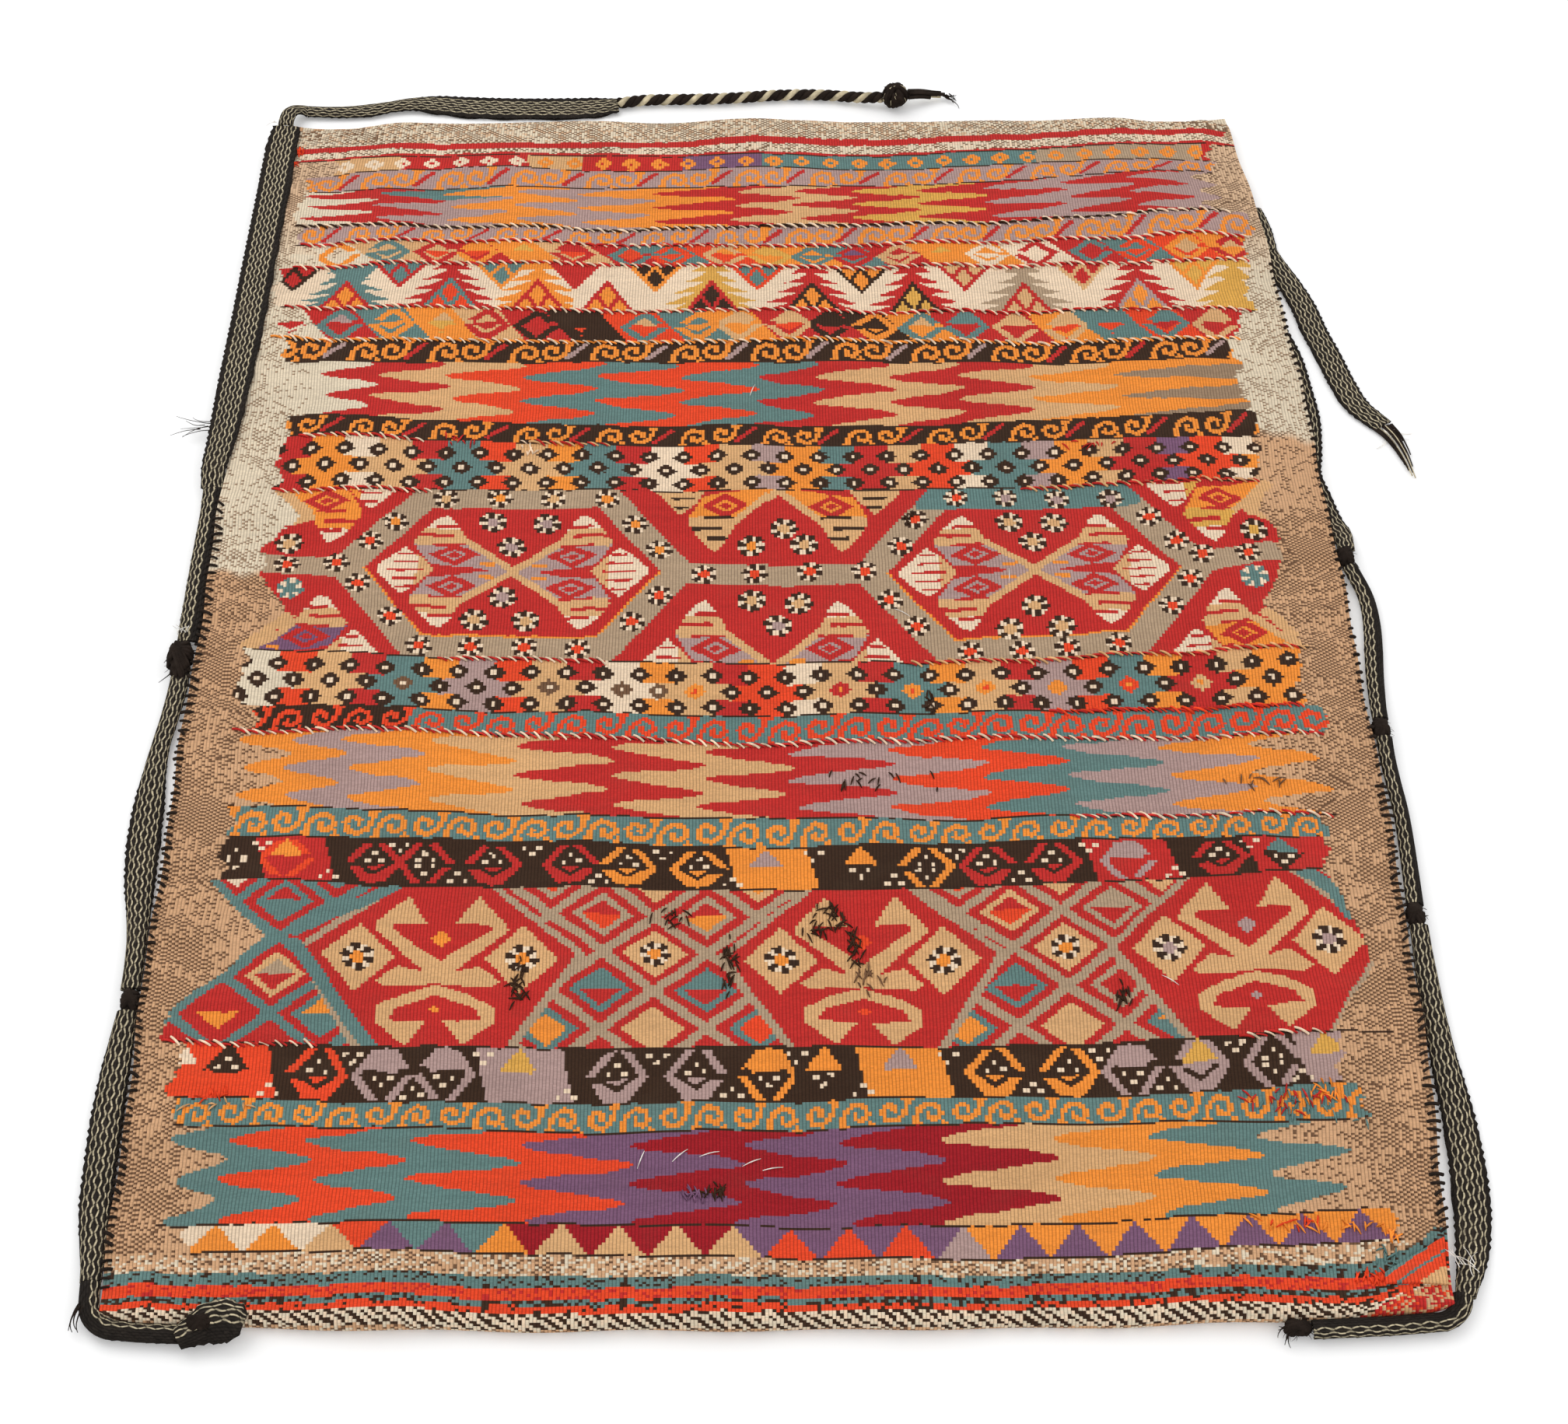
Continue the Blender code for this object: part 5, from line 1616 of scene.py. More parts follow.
class SACK_OT_front_cloth(Step):
    """Weave the patterned upper cloth"""

    bl_idname = "sack.front_cloth"
    bl_label = "Front cloth"

    def build(self):
        cloth = settings("cloth")
        columns = 2 * round(HALF_WIDTH / cloth.rib / 2)
        rows = 4 * round((FRONT_MOUTH_Y - HINGE_Y) / cloth.row / 4)
        lines = np.linspace(HINGE_Y, FRONT_MOUTH_Y, rows + 1)
        for side, label in ((LEFT, "left"), (RIGHT, "right")):
            shares = np.linspace(min(side, 0), max(side, 0), columns + 1)
            for half, place in enumerate(("near", "far")):
                ys = lines[half * rows // 2 : (half + 1) * rows // 2 + 1]
                self.panel(f"front_cloth_{label}_{place}", side, shares, ys)

    def panel(self, name, side, shares, ys):
        """One quarter of the front, from the sewn edge to the middle."""
        u, y = np.meshgrid(shares, ys)
        x = spread_x(u, y)
        outer = np.stack([x, y + mouth_drift(x, y), top_z(x, y)], -1)
        coarse = outer[::2, ::2].copy()
        coarse[..., 2] -= layer(x, y)[::2, ::2]
        uv = np.stack([u * HALF_WIDTH, y], -1)
        ob = shell(name, outer, coarse, woven_colours(cell_middles(x), cell_middles(y)), uv)
        ob.data.materials.append(front_cloth_material())
        seam = "left_side_seam" if side == LEFT else "right_side_seam"
        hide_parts("front_panel", seam)
        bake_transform(ob)


class SACK_OT_fold_cloth(Step):
    """Turn the cloth under along the near edge"""

    bl_idname = "sack.fold_cloth"
    bl_label = "Folded edge"
    flat_rows = 8
    round_rows = 12

    def build(self):
        cloth = settings("cloth")
        columns = 4 * round(HALF_WIDTH / cloth.rib / 2)
        shares = np.linspace(-1, 1, columns + 1)
        x = spread_x(shares, HINGE_Y)
        high, low = top_z(x, HINGE_Y), bottom_z(x, HINGE_Y)
        radius = (high - low) / 2
        turn_y = fold_edge(x) + radius
        outer, inner, woven = [], [], []
        thick = layer(x, HINGE_Y)
        for k in range(self.flat_rows):
            y = HINGE_Y + (turn_y - HINGE_Y) * k / self.flat_rows
            outer.append((x, y, high))
            inner.append((x, y, high - thick))
            woven.append(y)
        for k in range(self.round_rows + 1):
            angle = math.pi * k / self.round_rows
            sine, cosine = math.sin(angle), math.cos(angle)
            small = np.maximum(radius - thick, 0.0002)
            outer.append((x, turn_y - radius * sine, low + radius + radius * cosine))
            inner.append((x, turn_y - small * sine, low + radius + small * cosine))
            woven.append(turn_y - radius * angle)
        for k in range(1, self.flat_rows + 1):
            y = turn_y + (HINGE_Y - turn_y) * k / self.flat_rows
            outer.append((x, y, low))
            inner.append((x, y, low + thick))
            woven.append(turn_y - radius * math.pi - (y - turn_y))
        outer = np.array(outer).transpose(0, 2, 1)[::-1]
        inner = np.array(inner).transpose(0, 2, 1)[::-1][::2, ::2]
        woven = np.array(woven)[::-1]
        wide = np.broadcast_to(x, woven.shape)
        yarns = woven_colours(cell_middles(wide), cell_middles(woven))
        uv = np.stack([np.broadcast_to(shares * HALF_WIDTH, woven.shape), woven], -1)
        ob = shell("fold_cloth", outer, inner, yarns, uv)
        ob.data.materials.append(front_cloth_material())
        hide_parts("bottom_fold")
        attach(ob, "sack")


class SACK_OT_back_cloth(Step):
    """Weave the plain lower cloth"""

    bl_idname = "sack.back_cloth"
    bl_label = "Back cloth"
    row_pitch = 0.004

    def build(self):
        cloth = settings("cloth")
        columns = 2 * round(HALF_WIDTH / cloth.rib / 2)
        rows = 2 * round((HALF_LENGTH - HINGE_Y) / self.row_pitch / 2)
        u, y = np.meshgrid(np.linspace(-1, 1, columns + 1), np.linspace(HINGE_Y, HALF_LENGTH, rows + 1))
        x = spread_x(u, y)
        low = bottom_z(x, y)
        far = y + np.minimum(mouth_drift(x, y), 0)
        under = np.stack([x, far, low], -1)[:, ::-1]
        upper = np.stack([x, far, low + layer(x, y) * 0.98], -1)[:, ::-1]
        yarns = self.stripes(cell_middles(x), cell_middles(y))[:, ::-1]
        uv = np.stack([u * HALF_WIDTH, y], -1)[:, ::-1]
        ob = shell("back_cloth", under, upper[::2, ::2], yarn_table()[yarns], uv)
        ob.data.materials.append(woven_material("Plain cloth", cloth.rib, 0.0012, cloth.rib_relief, soil=0.3))
        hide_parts("back_panel", "left_side_seam", "right_side_seam")
        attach(ob, "sack")

    def stripes(self, x, y):
        """Brown cloth with groups of dark and red stripes."""
        x, y = x * 1000, y * 1000
        out = tabby(x, y, 0, 0, "MMS", "U", 0.9)
        place = np.mod(y + 1.5 * drift(x, 3, 300) + 570, 190)
        for start, end, yarn in ((60, 72, "K"), (76, 82, "C"), (86, 98, "K")):
            out[(place > start) & (place < end)] = code(yarn)
        return out


# Overcast stretches of each side: from and to along it, share of the stitch pitch, and length of a stitch
EDGE_STITCHES = {
    LEFT: ((0.020, 0.450, 0.70, 0.0060), (0.450, 0.672, 0.90, 0.0085)),
    RIGHT: ((0.054, 0.400, 0.75, 0.0075), (0.400, 0.945, 1.00, 0.0034)),
}


class SACK_OT_edge_stitches(Step):
    """Overcast the side edges"""

    bl_idname = "sack.edge_stitches"
    bl_label = "Edge stitches"
    step, lift, inset = 0.004, 0.0003, 0.26

    def build(self):
        bands = settings("bands")
        for side, label in ((LEFT, "left"), (RIGHT, "right")):
            parts = []
            for start, end, pitch, reach in EDGE_STITCHES[side]:
                line = []
                for y in np.arange(-HALF_LENGTH + start, -HALF_LENGTH + end, self.step):
                    x = side * (float(edge_x(side, y)) - self.inset * reach)
                    line.append(Vector((x, y, float(top_z(x, y)) + self.lift)))
                parts.append(
                    stitched(
                        "overcast",
                        [line],
                        *loose("Dark yarn"),
                        Pitch=pitch * bands.stitch,
                        Reach=reach,
                        Rise=0.0011,
                        Yarn_radius=bands.yarn,
                        Slant=0.30 * side,
                        Uneven=0.50,
                        Seed=3,
                    )
                )
            ob = join(f"{label}_overcast", parts, *loose("Dark yarn"))
            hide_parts(f"{label}_seam_yarn")
            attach(ob, "sack")


class SACK_OT_corner_patch(Step):
    """Sew the scrap on the near right corner"""

    bl_idname = "sack.corner_patch"
    bl_label = "Corner patch"

    rows, columns = 16, 24
    # From the side edge and from the fold: near and far end of the scrap, and its far edge at both ends
    inner_x, outer_x = 0.0400, 0.0025
    near_y, inner_far_y, outer_far_y = 0.0158, 0.0235, 0.0480
    lift, depth = 0.0022, 0.0019

    def build(self):
        grid = np.zeros((self.rows + 1, self.columns + 1, 3))
        for r in range(self.rows + 1):
            for c in range(self.columns + 1):
                slope = 1 - c / self.columns
                inward = self.outer_x + (self.inner_x - self.outer_x) * slope
                far = self.outer_far_y + (self.inner_far_y - self.outer_far_y) * slope
                y = -HALF_LENGTH + self.near_y + (far - self.near_y) * r / self.rows
                x = float(edge_x(RIGHT, y)) - inward
                grid[r, c] = (x, y, float(top_z(x, y)) + self.lift + 0.0003 * math.sin(400 * x))
        under = grid[::2, ::2].copy()
        under[..., 2] -= self.depth
        uv = grid[..., :2].copy()
        height = (grid[:-1, :-1, 1] - 0.68 * (grid[:-1, :-1, 0] - 0.395)) * 1000
        yarns = pick("BRTRTM", np.searchsorted((-545, -537, -535, -527.5, -524), height))
        ob = shell("corner_scrap", grid, under, yarn_table()[yarns], uv)
        ob.data.materials.append(woven_material("Scrap cloth", 0.0022, 0.0012, 0.0006, soil=0.3))
        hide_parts("corner_patch")
        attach(ob, "sack")


# Bands held along the sack: distance from the mouth or the fold, how far out, height
LEFT_UPPER_BAND = (
    (0.0240, 0.0020, 0.0122), (0.0500, 0.0030, 0.0104), (0.1200, 0.0022, 0.0104),
    (0.2000, 0.0022, 0.0104), (0.2700, 0.0025, 0.0104), (0.3400, 0.0042, 0.0104),
    (0.3900, 0.0056, 0.0108), (0.4220, 0.0075, 0.0116), (0.4340, 0.0085, 0.0112),
    (0.4420, 0.0084, 0.0092), (0.4510, 0.0082, 0.0072),
)
LEFT_UPPER_SHARES = (0.80, 1.00, 1.00, 1.00, 1.00, 0.95, 0.85, 0.66, 0.60, 0.56, 0.55)
LEFT_UPPER_ROLLS = (0, 9, 9, 9, 9, 9, 9, 0, 0, 0, 0)
LEFT_BUNCHED_BAND = (
    (0.4513, 0.0082, 0.0070), (0.4800, 0.0082, 0.0062), (0.5300, 0.0086, 0.0062),
    (0.5800, 0.0082, 0.0066), (0.6067, 0.0085, 0.0080),
)
LEFT_BUNCHED_SHARES = (0.54, 0.50, 0.52, 0.56, 0.50)
LEFT_LOWER_BAND = (
    (0.2182, 0.0082, 0.0066), (0.1980, 0.0094, 0.0055), (0.1700, 0.0110, 0.0042),
    (0.1400, 0.0118, 0.0038), (0.1100, 0.0118, 0.0038), (0.0800, 0.0116, 0.0040),
    (0.0550, 0.0100, 0.0046), (0.0350, 0.0086, 0.0060), (0.0255, 0.0082, 0.0066),
)
LEFT_LOWER_SHARES = (0.40, 0.50, 0.62, 0.70, 0.70, 0.68, 0.55, 0.42, 0.40)
RIGHT_HEAD_BAND = (
    (0.1180, -0.0020, 0.0024), (0.1400, 0.0010, 0.0024), (0.1615, 0.0015, 0.0024),
    (0.1700, 0.0015, 0.0024),
)
RIGHT_HEAD_SHARES = (0.60, 0.60, 0.58, 0.54)
RIGHT_SEWN_BAND = (
    (0.2650, -0.0100, 0.0020), (0.3000, -0.0030, 0.0020), (0.3350, -0.0010, 0.0020),
    (0.3700, 0.0000, 0.0020), (0.4050, -0.0040, 0.0020), (0.4300, -0.0080, 0.0020),
    (0.4550, -0.0040, 0.0020), (0.4800, 0.0010, 0.0022), (0.4930, 0.0075, 0.0026),
    (0.5040, 0.0088, 0.0046), (0.5143, 0.0082, 0.0066),
)
RIGHT_SEWN_SHARES = (0.75, 0.75, 0.75, 0.75, 0.75, 0.75, 0.75, 0.70, 0.55, 0.42, 0.40)
CORNER_LOOP = (
    (-0.0035, -0.0137, 0.0128), (-0.0035, -0.0050, 0.0128), (-0.0020, 0.0055, 0.0120),
    (0.0025, 0.0130, 0.0095), (0.0075, 0.0166, 0.0062), (0.0115, 0.0170, 0.0046),
)

# Free stretches of the bands
LEFT_TIE_ROUTE = (
    (-0.3886, 0.5772, 0.0046), (-0.3740, 0.5770, 0.0042), (-0.3560, 0.5778, 0.0036),
    (-0.3360, 0.5806, 0.0034), (-0.3180, 0.5845, 0.0042), (-0.3000, 0.5885, 0.0040),
    (-0.2780, 0.5890, 0.0028), (-0.2480, 0.5864, 0.0020), (-0.2100, 0.5852, 0.0018),
    (-0.1700, 0.5856, 0.0018), (-0.1440, 0.5868, 0.0022), (-0.1230, 0.5890, 0.0032),
)
LEFT_TIE_SHARES = (0.40, 0.40, 0.46, 0.55, 0.42, 0.55, 0.85, 0.98, 0.98, 0.98, 0.94, 0.62)
LEFT_BRAID_ROUTE = (
    (-0.1224, 0.5890, 0.0054), (-0.1005, 0.5932, 0.0054), (-0.0786, 0.5944, 0.0054),
    (-0.0511, 0.5950, 0.0054), (-0.0181, 0.5974, 0.0054), (0.0094, 0.6005, 0.0054),
    (0.0370, 0.6018, 0.0054), (0.0590, 0.6008, 0.0056), (0.0755, 0.5980, 0.0064),
    (0.0918, 0.5946, 0.0080), (0.1047, 0.5930, 0.0100),
)
TIE_KNOT_CENTRE = (0.1162, 0.5930, 0.0113)
TIE_KNOT_RADII = (0.0112, 0.0130, 0.0110)
TIE_TAIL_ROUTE = (
    (0.1277, 0.5950, 0.0110), (0.1390, 0.5995, 0.0082), (0.1500, 0.6011, 0.0058),
    (0.1600, 0.6020, 0.0046),
)
LEFT_LOOP_ROUTE = (
    (-0.4163, -0.0623, 0.0070), (-0.4170, -0.0800, 0.0060), (-0.4195, -0.1050, 0.0050),
    (-0.4225, -0.1300, 0.0045), (-0.4238, -0.1550, 0.0036), (-0.4238, -0.1850, 0.0026),
    (-0.4232, -0.2150, 0.0024), (-0.4212, -0.2450, 0.0028), (-0.4185, -0.2700, 0.0038),
    (-0.4160, -0.2950, 0.0052), (-0.4148, -0.3180, 0.0062), (-0.4146, -0.3348, 0.0066),
)
LEFT_LOOP_SHARES = (0.40, 0.42, 0.40, 0.40, 0.52, 0.75, 0.80, 0.70, 0.52, 0.42, 0.40, 0.40)
RIGHT_TIE_ROUTE = (
    (0.4152, 0.4082, 0.0024), (0.4165, 0.3980, 0.0024), (0.4195, 0.3850, 0.0022),
    (0.4275, 0.3610, 0.0020), (0.4355, 0.3325, 0.0018), (0.4410, 0.3005, 0.0018),
    (0.4470, 0.2755, 0.0018), (0.4540, 0.2415, 0.0018), (0.4625, 0.2145, 0.0020),
    (0.4790, 0.1925, 0.0022),
)
RIGHT_TIE_SHARES = (0.50, 0.50, 0.58, 0.66, 0.72, 0.74, 0.74, 0.74, 0.70, 0.58)
FRINGE_ROUTE = (
    (0.4792, 0.1922, 0.0022), (0.4860, 0.1800, 0.0020), (0.4915, 0.1600, 0.0018),
    (0.4948, 0.1360, 0.0016),
)
RIGHT_UPPER_LOOP_ROUTE = (
    (0.4292, 0.0387, 0.0066), (0.4325, 0.0290, 0.0055), (0.4365, 0.0150, 0.0042),
    (0.4382, 0.0000, 0.0036), (0.4376, -0.0200, 0.0032), (0.4352, -0.0420, 0.0030),
    (0.4325, -0.0640, 0.0034), (0.4305, -0.0850, 0.0046), (0.4293, -0.0990, 0.0060),
    (0.4290, -0.1087, 0.0066),
)
RIGHT_UPPER_LOOP_SHARES = (0.34, 0.34, 0.35, 0.37, 0.40, 0.42, 0.40, 0.37, 0.35, 0.34)
RIGHT_MIDDLE_LOOP_ROUTE = (
    (0.4290, -0.1257, 0.0066), (0.4288, -0.1438, 0.0056), (0.4296, -0.1637, 0.0048),
    (0.4306, -0.1832, 0.0045), (0.4307, -0.1998, 0.0045), (0.4300, -0.2189, 0.0046),
    (0.4290, -0.2377, 0.0050), (0.4278, -0.2560, 0.0060), (0.4268, -0.2702, 0.0066),
)
RIGHT_MIDDLE_LOOP_SHARES = (0.34, 0.33, 0.32, 0.32, 0.32, 0.33, 0.34, 0.35, 0.36)
RIGHT_LOWER_LOOP_ROUTE = (
    (0.4267, -0.2872, 0.0066), (0.4262, -0.3050, 0.0056), (0.4258, -0.3250, 0.0046),
    (0.4257, -0.3480, 0.0042), (0.4260, -0.3700, 0.0036), (0.4264, -0.3880, 0.0032),
    (0.4273, -0.4073, 0.0028), (0.4283, -0.4312, 0.0025), (0.4281, -0.4546, 0.0024),
    (0.4272, -0.4776, 0.0022), (0.4250, -0.5002, 0.0022), (0.4212, -0.5224, 0.0028),
    (0.4165, -0.5400, 0.0046), (0.4120, -0.5520, 0.0060), (0.4098, -0.5590, 0.0066),
)
RIGHT_LOWER_LOOP_SHARES = (
    0.38, 0.40, 0.45, 0.48, 0.52, 0.56, 0.64, 0.72, 0.78, 0.82, 0.82, 0.72, 0.55, 0.43, 0.38,
)

# The bunched band is tucked in against the cloth
BUNCHED_TUCK = 0.0018
# Free bands: name, node, body, route, shares, how they end, width and slide of the woven figure
FREE_BANDS = (
    ("left_tie", "left_tie_band", "left_tie", LEFT_TIE_ROUTE, LEFT_TIE_SHARES, "object", 0.028, 0.0),
    ("left_loop", "left_loop_band", "left_loop", LEFT_LOOP_ROUTE, LEFT_LOOP_SHARES, "object", 0.022, 0.0),
    (
        "right_upper_hang", "right_loop_upper", "right_upper_loop",
        RIGHT_UPPER_LOOP_ROUTE, RIGHT_UPPER_LOOP_SHARES, "object", 0.011, 0.30,
    ),
    (
        "right_middle_hang", "right_loop_middle", "right_middle_loop",
        RIGHT_MIDDLE_LOOP_ROUTE, RIGHT_MIDDLE_LOOP_SHARES, "object", 0.0105, 0.28,
    ),
    (
        "right_lower_hang", "right_loop_lower", "right_lower_loop",
        RIGHT_LOWER_LOOP_ROUTE, RIGHT_LOWER_LOOP_SHARES, "object", 0.022, 0.0,
    ),
    ("right_tie", "right_tie_band", "right_tie", RIGHT_TIE_ROUTE, RIGHT_TIE_SHARES, "bare", 0.020, 0.0),
)


def plain_edge(side, y):
    """Where the model's side edge lies, with its sign."""
    return side * (HALF_WIDTH + SIDE_BOW[side] * float(bow(y / HALF_LENGTH)))


def beside(side, rows, from_mouth=True, tuck=0.0):
    """Points of a band held along a side edge."""
    found = []
    for distance, out, height in rows:
        y = HALF_LENGTH - distance if from_mouth else -HALF_LENGTH + distance
        found.append((plain_edge(side, y) + side * (out - tuck), y, height))
    return found


class SACK_OT_sewn_bands(Step):
    """Lay the bands that are sewn to the sack"""

    bl_idname = "sack.sewn_bands"
    bl_label = "Sewn bands"

    def build(self):
        corner = Vector((plain_edge(LEFT, 0.56), 0.56, 0.0))
        loop = [corner + Vector(offset) for offset in CORNER_LOOP]
        left = beside(LEFT, LEFT_UPPER_BAND)
        bunched = beside(LEFT, LEFT_BUNCHED_BAND, tuck=BUNCHED_TUCK)
        low = beside(LEFT, LEFT_LOWER_BAND, False)
        head, sewn = beside(RIGHT, RIGHT_HEAD_BAND), beside(RIGHT, RIGHT_SEWN_BAND)
        left_wrap, right_wrap = self.wrap(LEFT, 0.0252, 0.058), self.wrap(RIGHT, 0.0107, 0.085)
        for name, node, route, shares, rolls, slide in (
            ("left_upper_strap", "left_sewn_band_upper", left, LEFT_UPPER_SHARES, LEFT_UPPER_ROLLS, 0.0),
            ("left_bunched_strap", "left_bunched_band", bunched, LEFT_BUNCHED_SHARES, None, 0.30),
            ("left_lower_strap", "left_sewn_band_lower", low, LEFT_LOWER_SHARES, None, 0.0),
            ("left_corner_strap", "left_corner_loop", loop, [0.4] * len(loop), None, 0.0),
            ("right_head_strap", "right_band_head", head, RIGHT_HEAD_SHARES, None, 0.0),
            ("right_sewn_strap", "right_sewn_band", sewn, RIGHT_SEWN_SHARES, None, 0.0),
            ("left_wrap_strap", "left_corner_wrap", left_wrap, [0.38] * len(left_wrap), None, -0.36),
            ("right_wrap_strap", "right_corner_wrap", right_wrap, [0.38] * len(right_wrap), None, -0.36),
        ):
            ob, _ = ribbon(name, route, shares, rolls, slide)
            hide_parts(node)
            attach(ob, "sack")

    def wrap(self, side, start, reach):
        """Points of a band that turns a near corner."""
        out, fold_out, height, steps = 0.0082, 0.0062, 0.0066, 5
        round_corner = 0.012
        route = []
        for step in range(steps + 1):
            turn = math.pi / 2 * step / steps
            far = out + (fold_out - out) * step / steps
            wide = HALF_WIDTH - round_corner + (far + round_corner) * math.cos(turn)
            near = HALF_LENGTH - round_corner + (far + round_corner) * math.sin(turn)
            route.append((side * wide, -near, height))
        if start > round_corner:
            y = -HALF_LENGTH + start
            route.insert(0, (plain_edge(side, y) + side * out, y, height))
        for step in range(2, steps + 1):
            x = HALF_WIDTH - reach * step / steps
            fold = -HALF_LENGTH - FOLD_BOW * float(bow(x / HALF_WIDTH))
            route.append((side * x, fold - fold_out, height))
        return route


class SACK_OT_free_bands(Step):
    """Lay the free ties and the hanging loops"""

    bl_idname = "sack.free_bands"
    bl_label = "Free bands"
    tail_yarns, tail_wide, tail_tall, tail_yarn = 9, 0.0042, 0.0028, 0.0016
    fringe_yarns, fringe_wide, fringe_yarn = 22, 0.0085, 0.0009

    def build(self):
        bands = settings("bands")
        for name, node, body, route, shares, end, wide, slide in FREE_BANDS:
            # The head band covers the first stretch of the right tie, behind its joint
            first = 1 if name == "right_tie" else 0
            ob, points = ribbon(name, route[first:], shares[first:], slide=slide)
            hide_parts(node)
            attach(ob, body)
            extra = [self.fringe()] if name == "right_tie" else []
        ob, points = twisted("left_tie_cord", LEFT_BRAID_ROUTE, bands.braid / 2, 0.021, 3)
        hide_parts("left_tie_braid")
        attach(ob, "left_tie_cord")
        end_knot = lump("left_tie_end_knot", TIE_KNOT_CENTRE, TIE_KNOT_RADII, turns=11, pale=1)
        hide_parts("left_tie_knot")
        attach(end_knot, "left_tie_cord")
        tail = self.tail()

    def tail(self):
        """The frayed end past the knot."""
        rng = random.Random(5)
        rows = []
        points = [p for p, _ in spline_points(TIE_TAIL_ROUTE, 0.003)]
        for number in range(self.tail_yarns):
            offset = Vector((0, rng.uniform(-1, 1) * self.tail_wide, rng.uniform(-1, 1) * self.tail_tall))
            count = rng.randint(7, len(points))
            line = [p + offset * (1 - 0.3 * i / len(points)) for i, p in enumerate(points[:count])]
            rows.append((line, [self.tail_yarn] * len(line), 1 if number == self.tail_yarns - 1 else 0, 6))
        rows += strands(points[-1], (1, -0.2, 0), 9, 0.014, 0.008, 0.0006, rng, (0,), 0.001)
        ob = yarn_mesh("left_tie_frayed_end", rows, loose("Dark yarn", "Pale yarn"))
        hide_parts("left_tie_tail")
        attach(ob, "left_tie_cord")
        return ob

    def fringe(self):
        """The frayed end of the right tie."""
        rng = random.Random(8)
        rows = []
        points = [p for p, _ in spline_points(FRINGE_ROUTE, 0.003)]
        for number in range(self.fringe_yarns):
            offset = Vector((1, 0.35, 0)) * rng.uniform(-1, 1) * self.fringe_wide
            count = rng.randint(len(points) // 3, len(points))
            line = [p + offset * (1 - 0.75 * i / len(points)) for i, p in enumerate(points[:count])]
            thin = [self.fringe_yarn * (1 - 0.5 * i / count) for i in range(count)]
            rows.append((line, thin, 1 if number % 7 == 0 else 0, 5))
        for start, way in ((points[1], (0.9, -1, 0)), (points[3], (-0.1, -1, 0))):
            rows += strands(start, way, 14, 0.022, 0.007, 0.0003, rng, (2,))
        ob = yarn_mesh("right_tie_frayed_end", rows, loose("Dark yarn", "Pale yarn", "Lint"))
        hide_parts("right_tie_fringe")
        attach(ob, "right_tie")
        return ob


# The flattened end that hangs over the fold at the near left corner
END_FLAP_ROUTE = (
    (-0.3530, -0.5830, 0.0088), (-0.3440, -0.5790, 0.0108), (-0.3350, -0.5752, 0.0126),
    (-0.3250, -0.5740, 0.0130), (-0.3180, -0.5748, 0.0128), (-0.3145, -0.5758, 0.0122),
)
END_FLAP_SHARES = (0.42, 0.62, 0.86, 0.92, 0.76, 0.42)
END_FLAP_ROLLS = (10, 16, 20, 20, 18, 12)
# Wound knots and tacks: shift, stretch of the model's box and pale turns
KNOTS = {
    "left_middle_knot": ((0.001, -0.004, -0.0006), (0.92, 1.62, 0.95), 0),
    "left_lower_tack": ((0.0010, 0, -0.0006), (0.92, 1.50, 0.85), 0),
    "left_end_stub": ((-0.012, 0.008, 0.0030), (0.62, 0.75, 0.46), 0),
    "right_upper_tack": ((-0.0015, 0.001, -0.0004), (0.95, 1.50, 0.88), 0),
    "right_middle_tack": ((-0.0010, 0, -0.0006), (0.92, 1.45, 0.85), 0),
    "right_lower_tack": ((-0.0010, 0, -0.0006), (0.92, 1.45, 0.85), 0),
    "right_end_stub": ((0, 0.0015, 0), (1.05, 0.90, 0.85), 0),
}
# Loose fibres: name, start, direction, number, length, spread, radius and yarn
WISPS = (
    ("left_band_wisps", (-0.4270, 0.1850, 0.0090), (-1, 0.05, 0), 7, 0.034, 0.012, 0.0004, "Dark yarn"),
    ("left_head_wisps", (-0.4140, 0.5520, 0.0120), (-1, 0.3, 0), 3, 0.010, 0.006, 0.0003, "Lint"),
    ("left_knot_wisps", (-0.4180, -0.0300, 0.0140), (-0.4, 1, 0), 6, 0.018, 0.008, 0.0004, "Lint"),
    ("left_corner_wisps", (-0.4120, -0.5600, 0.0090), (-0.6, -1, 0), 4, 0.018, 0.004, 0.0006, "Dark yarn"),
    ("right_corner_wisps", (0.4130, -0.5420, 0.0110), (-0.3, 1, 0), 8, 0.022, 0.014, 0.0003, "Lint"),
    ("right_stub_wisps", (0.3020, -0.5810, 0.0100), (-1, -0.2, 0), 5, 0.010, 0.006, 0.0005, "Dark yarn"),
)


class SACK_OT_knots(Step):
    """Wind the knots and tacks, and fray the ends beside them"""

    bl_idname = "sack.knots"
    bl_label = "Knots and tacks"

    def build(self):
        for node, (shift, stretch, pale) in KNOTS.items():
            low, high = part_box(node)
            middle, half = (low + high) / 2 + Vector(shift), (high - low) / 2
            half = Vector(h * s for h, s in zip(half, stretch))
            middle.z = max(middle.z, half.z + 0.0004)
            ob = lump(f"{node}_wound", middle, half, turns=12, yarn=0.0018, pale=pale, ends=4)
            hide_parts(node)
            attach(ob, "sack")
        flap, _ = ribbon("left_end_flap", END_FLAP_ROUTE, END_FLAP_SHARES, END_FLAP_ROLLS, -0.30)
        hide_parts("left_end_stub")
        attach(flap, "sack")
        for name, start, way, count, long, spread, radius, yarn in WISPS:
            rows = strands(start, way, count, long, spread, radius, random.Random(name), low=0.0012)
            ob = yarn_mesh(name, rows, loose(yarn))
            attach(ob, "sack")


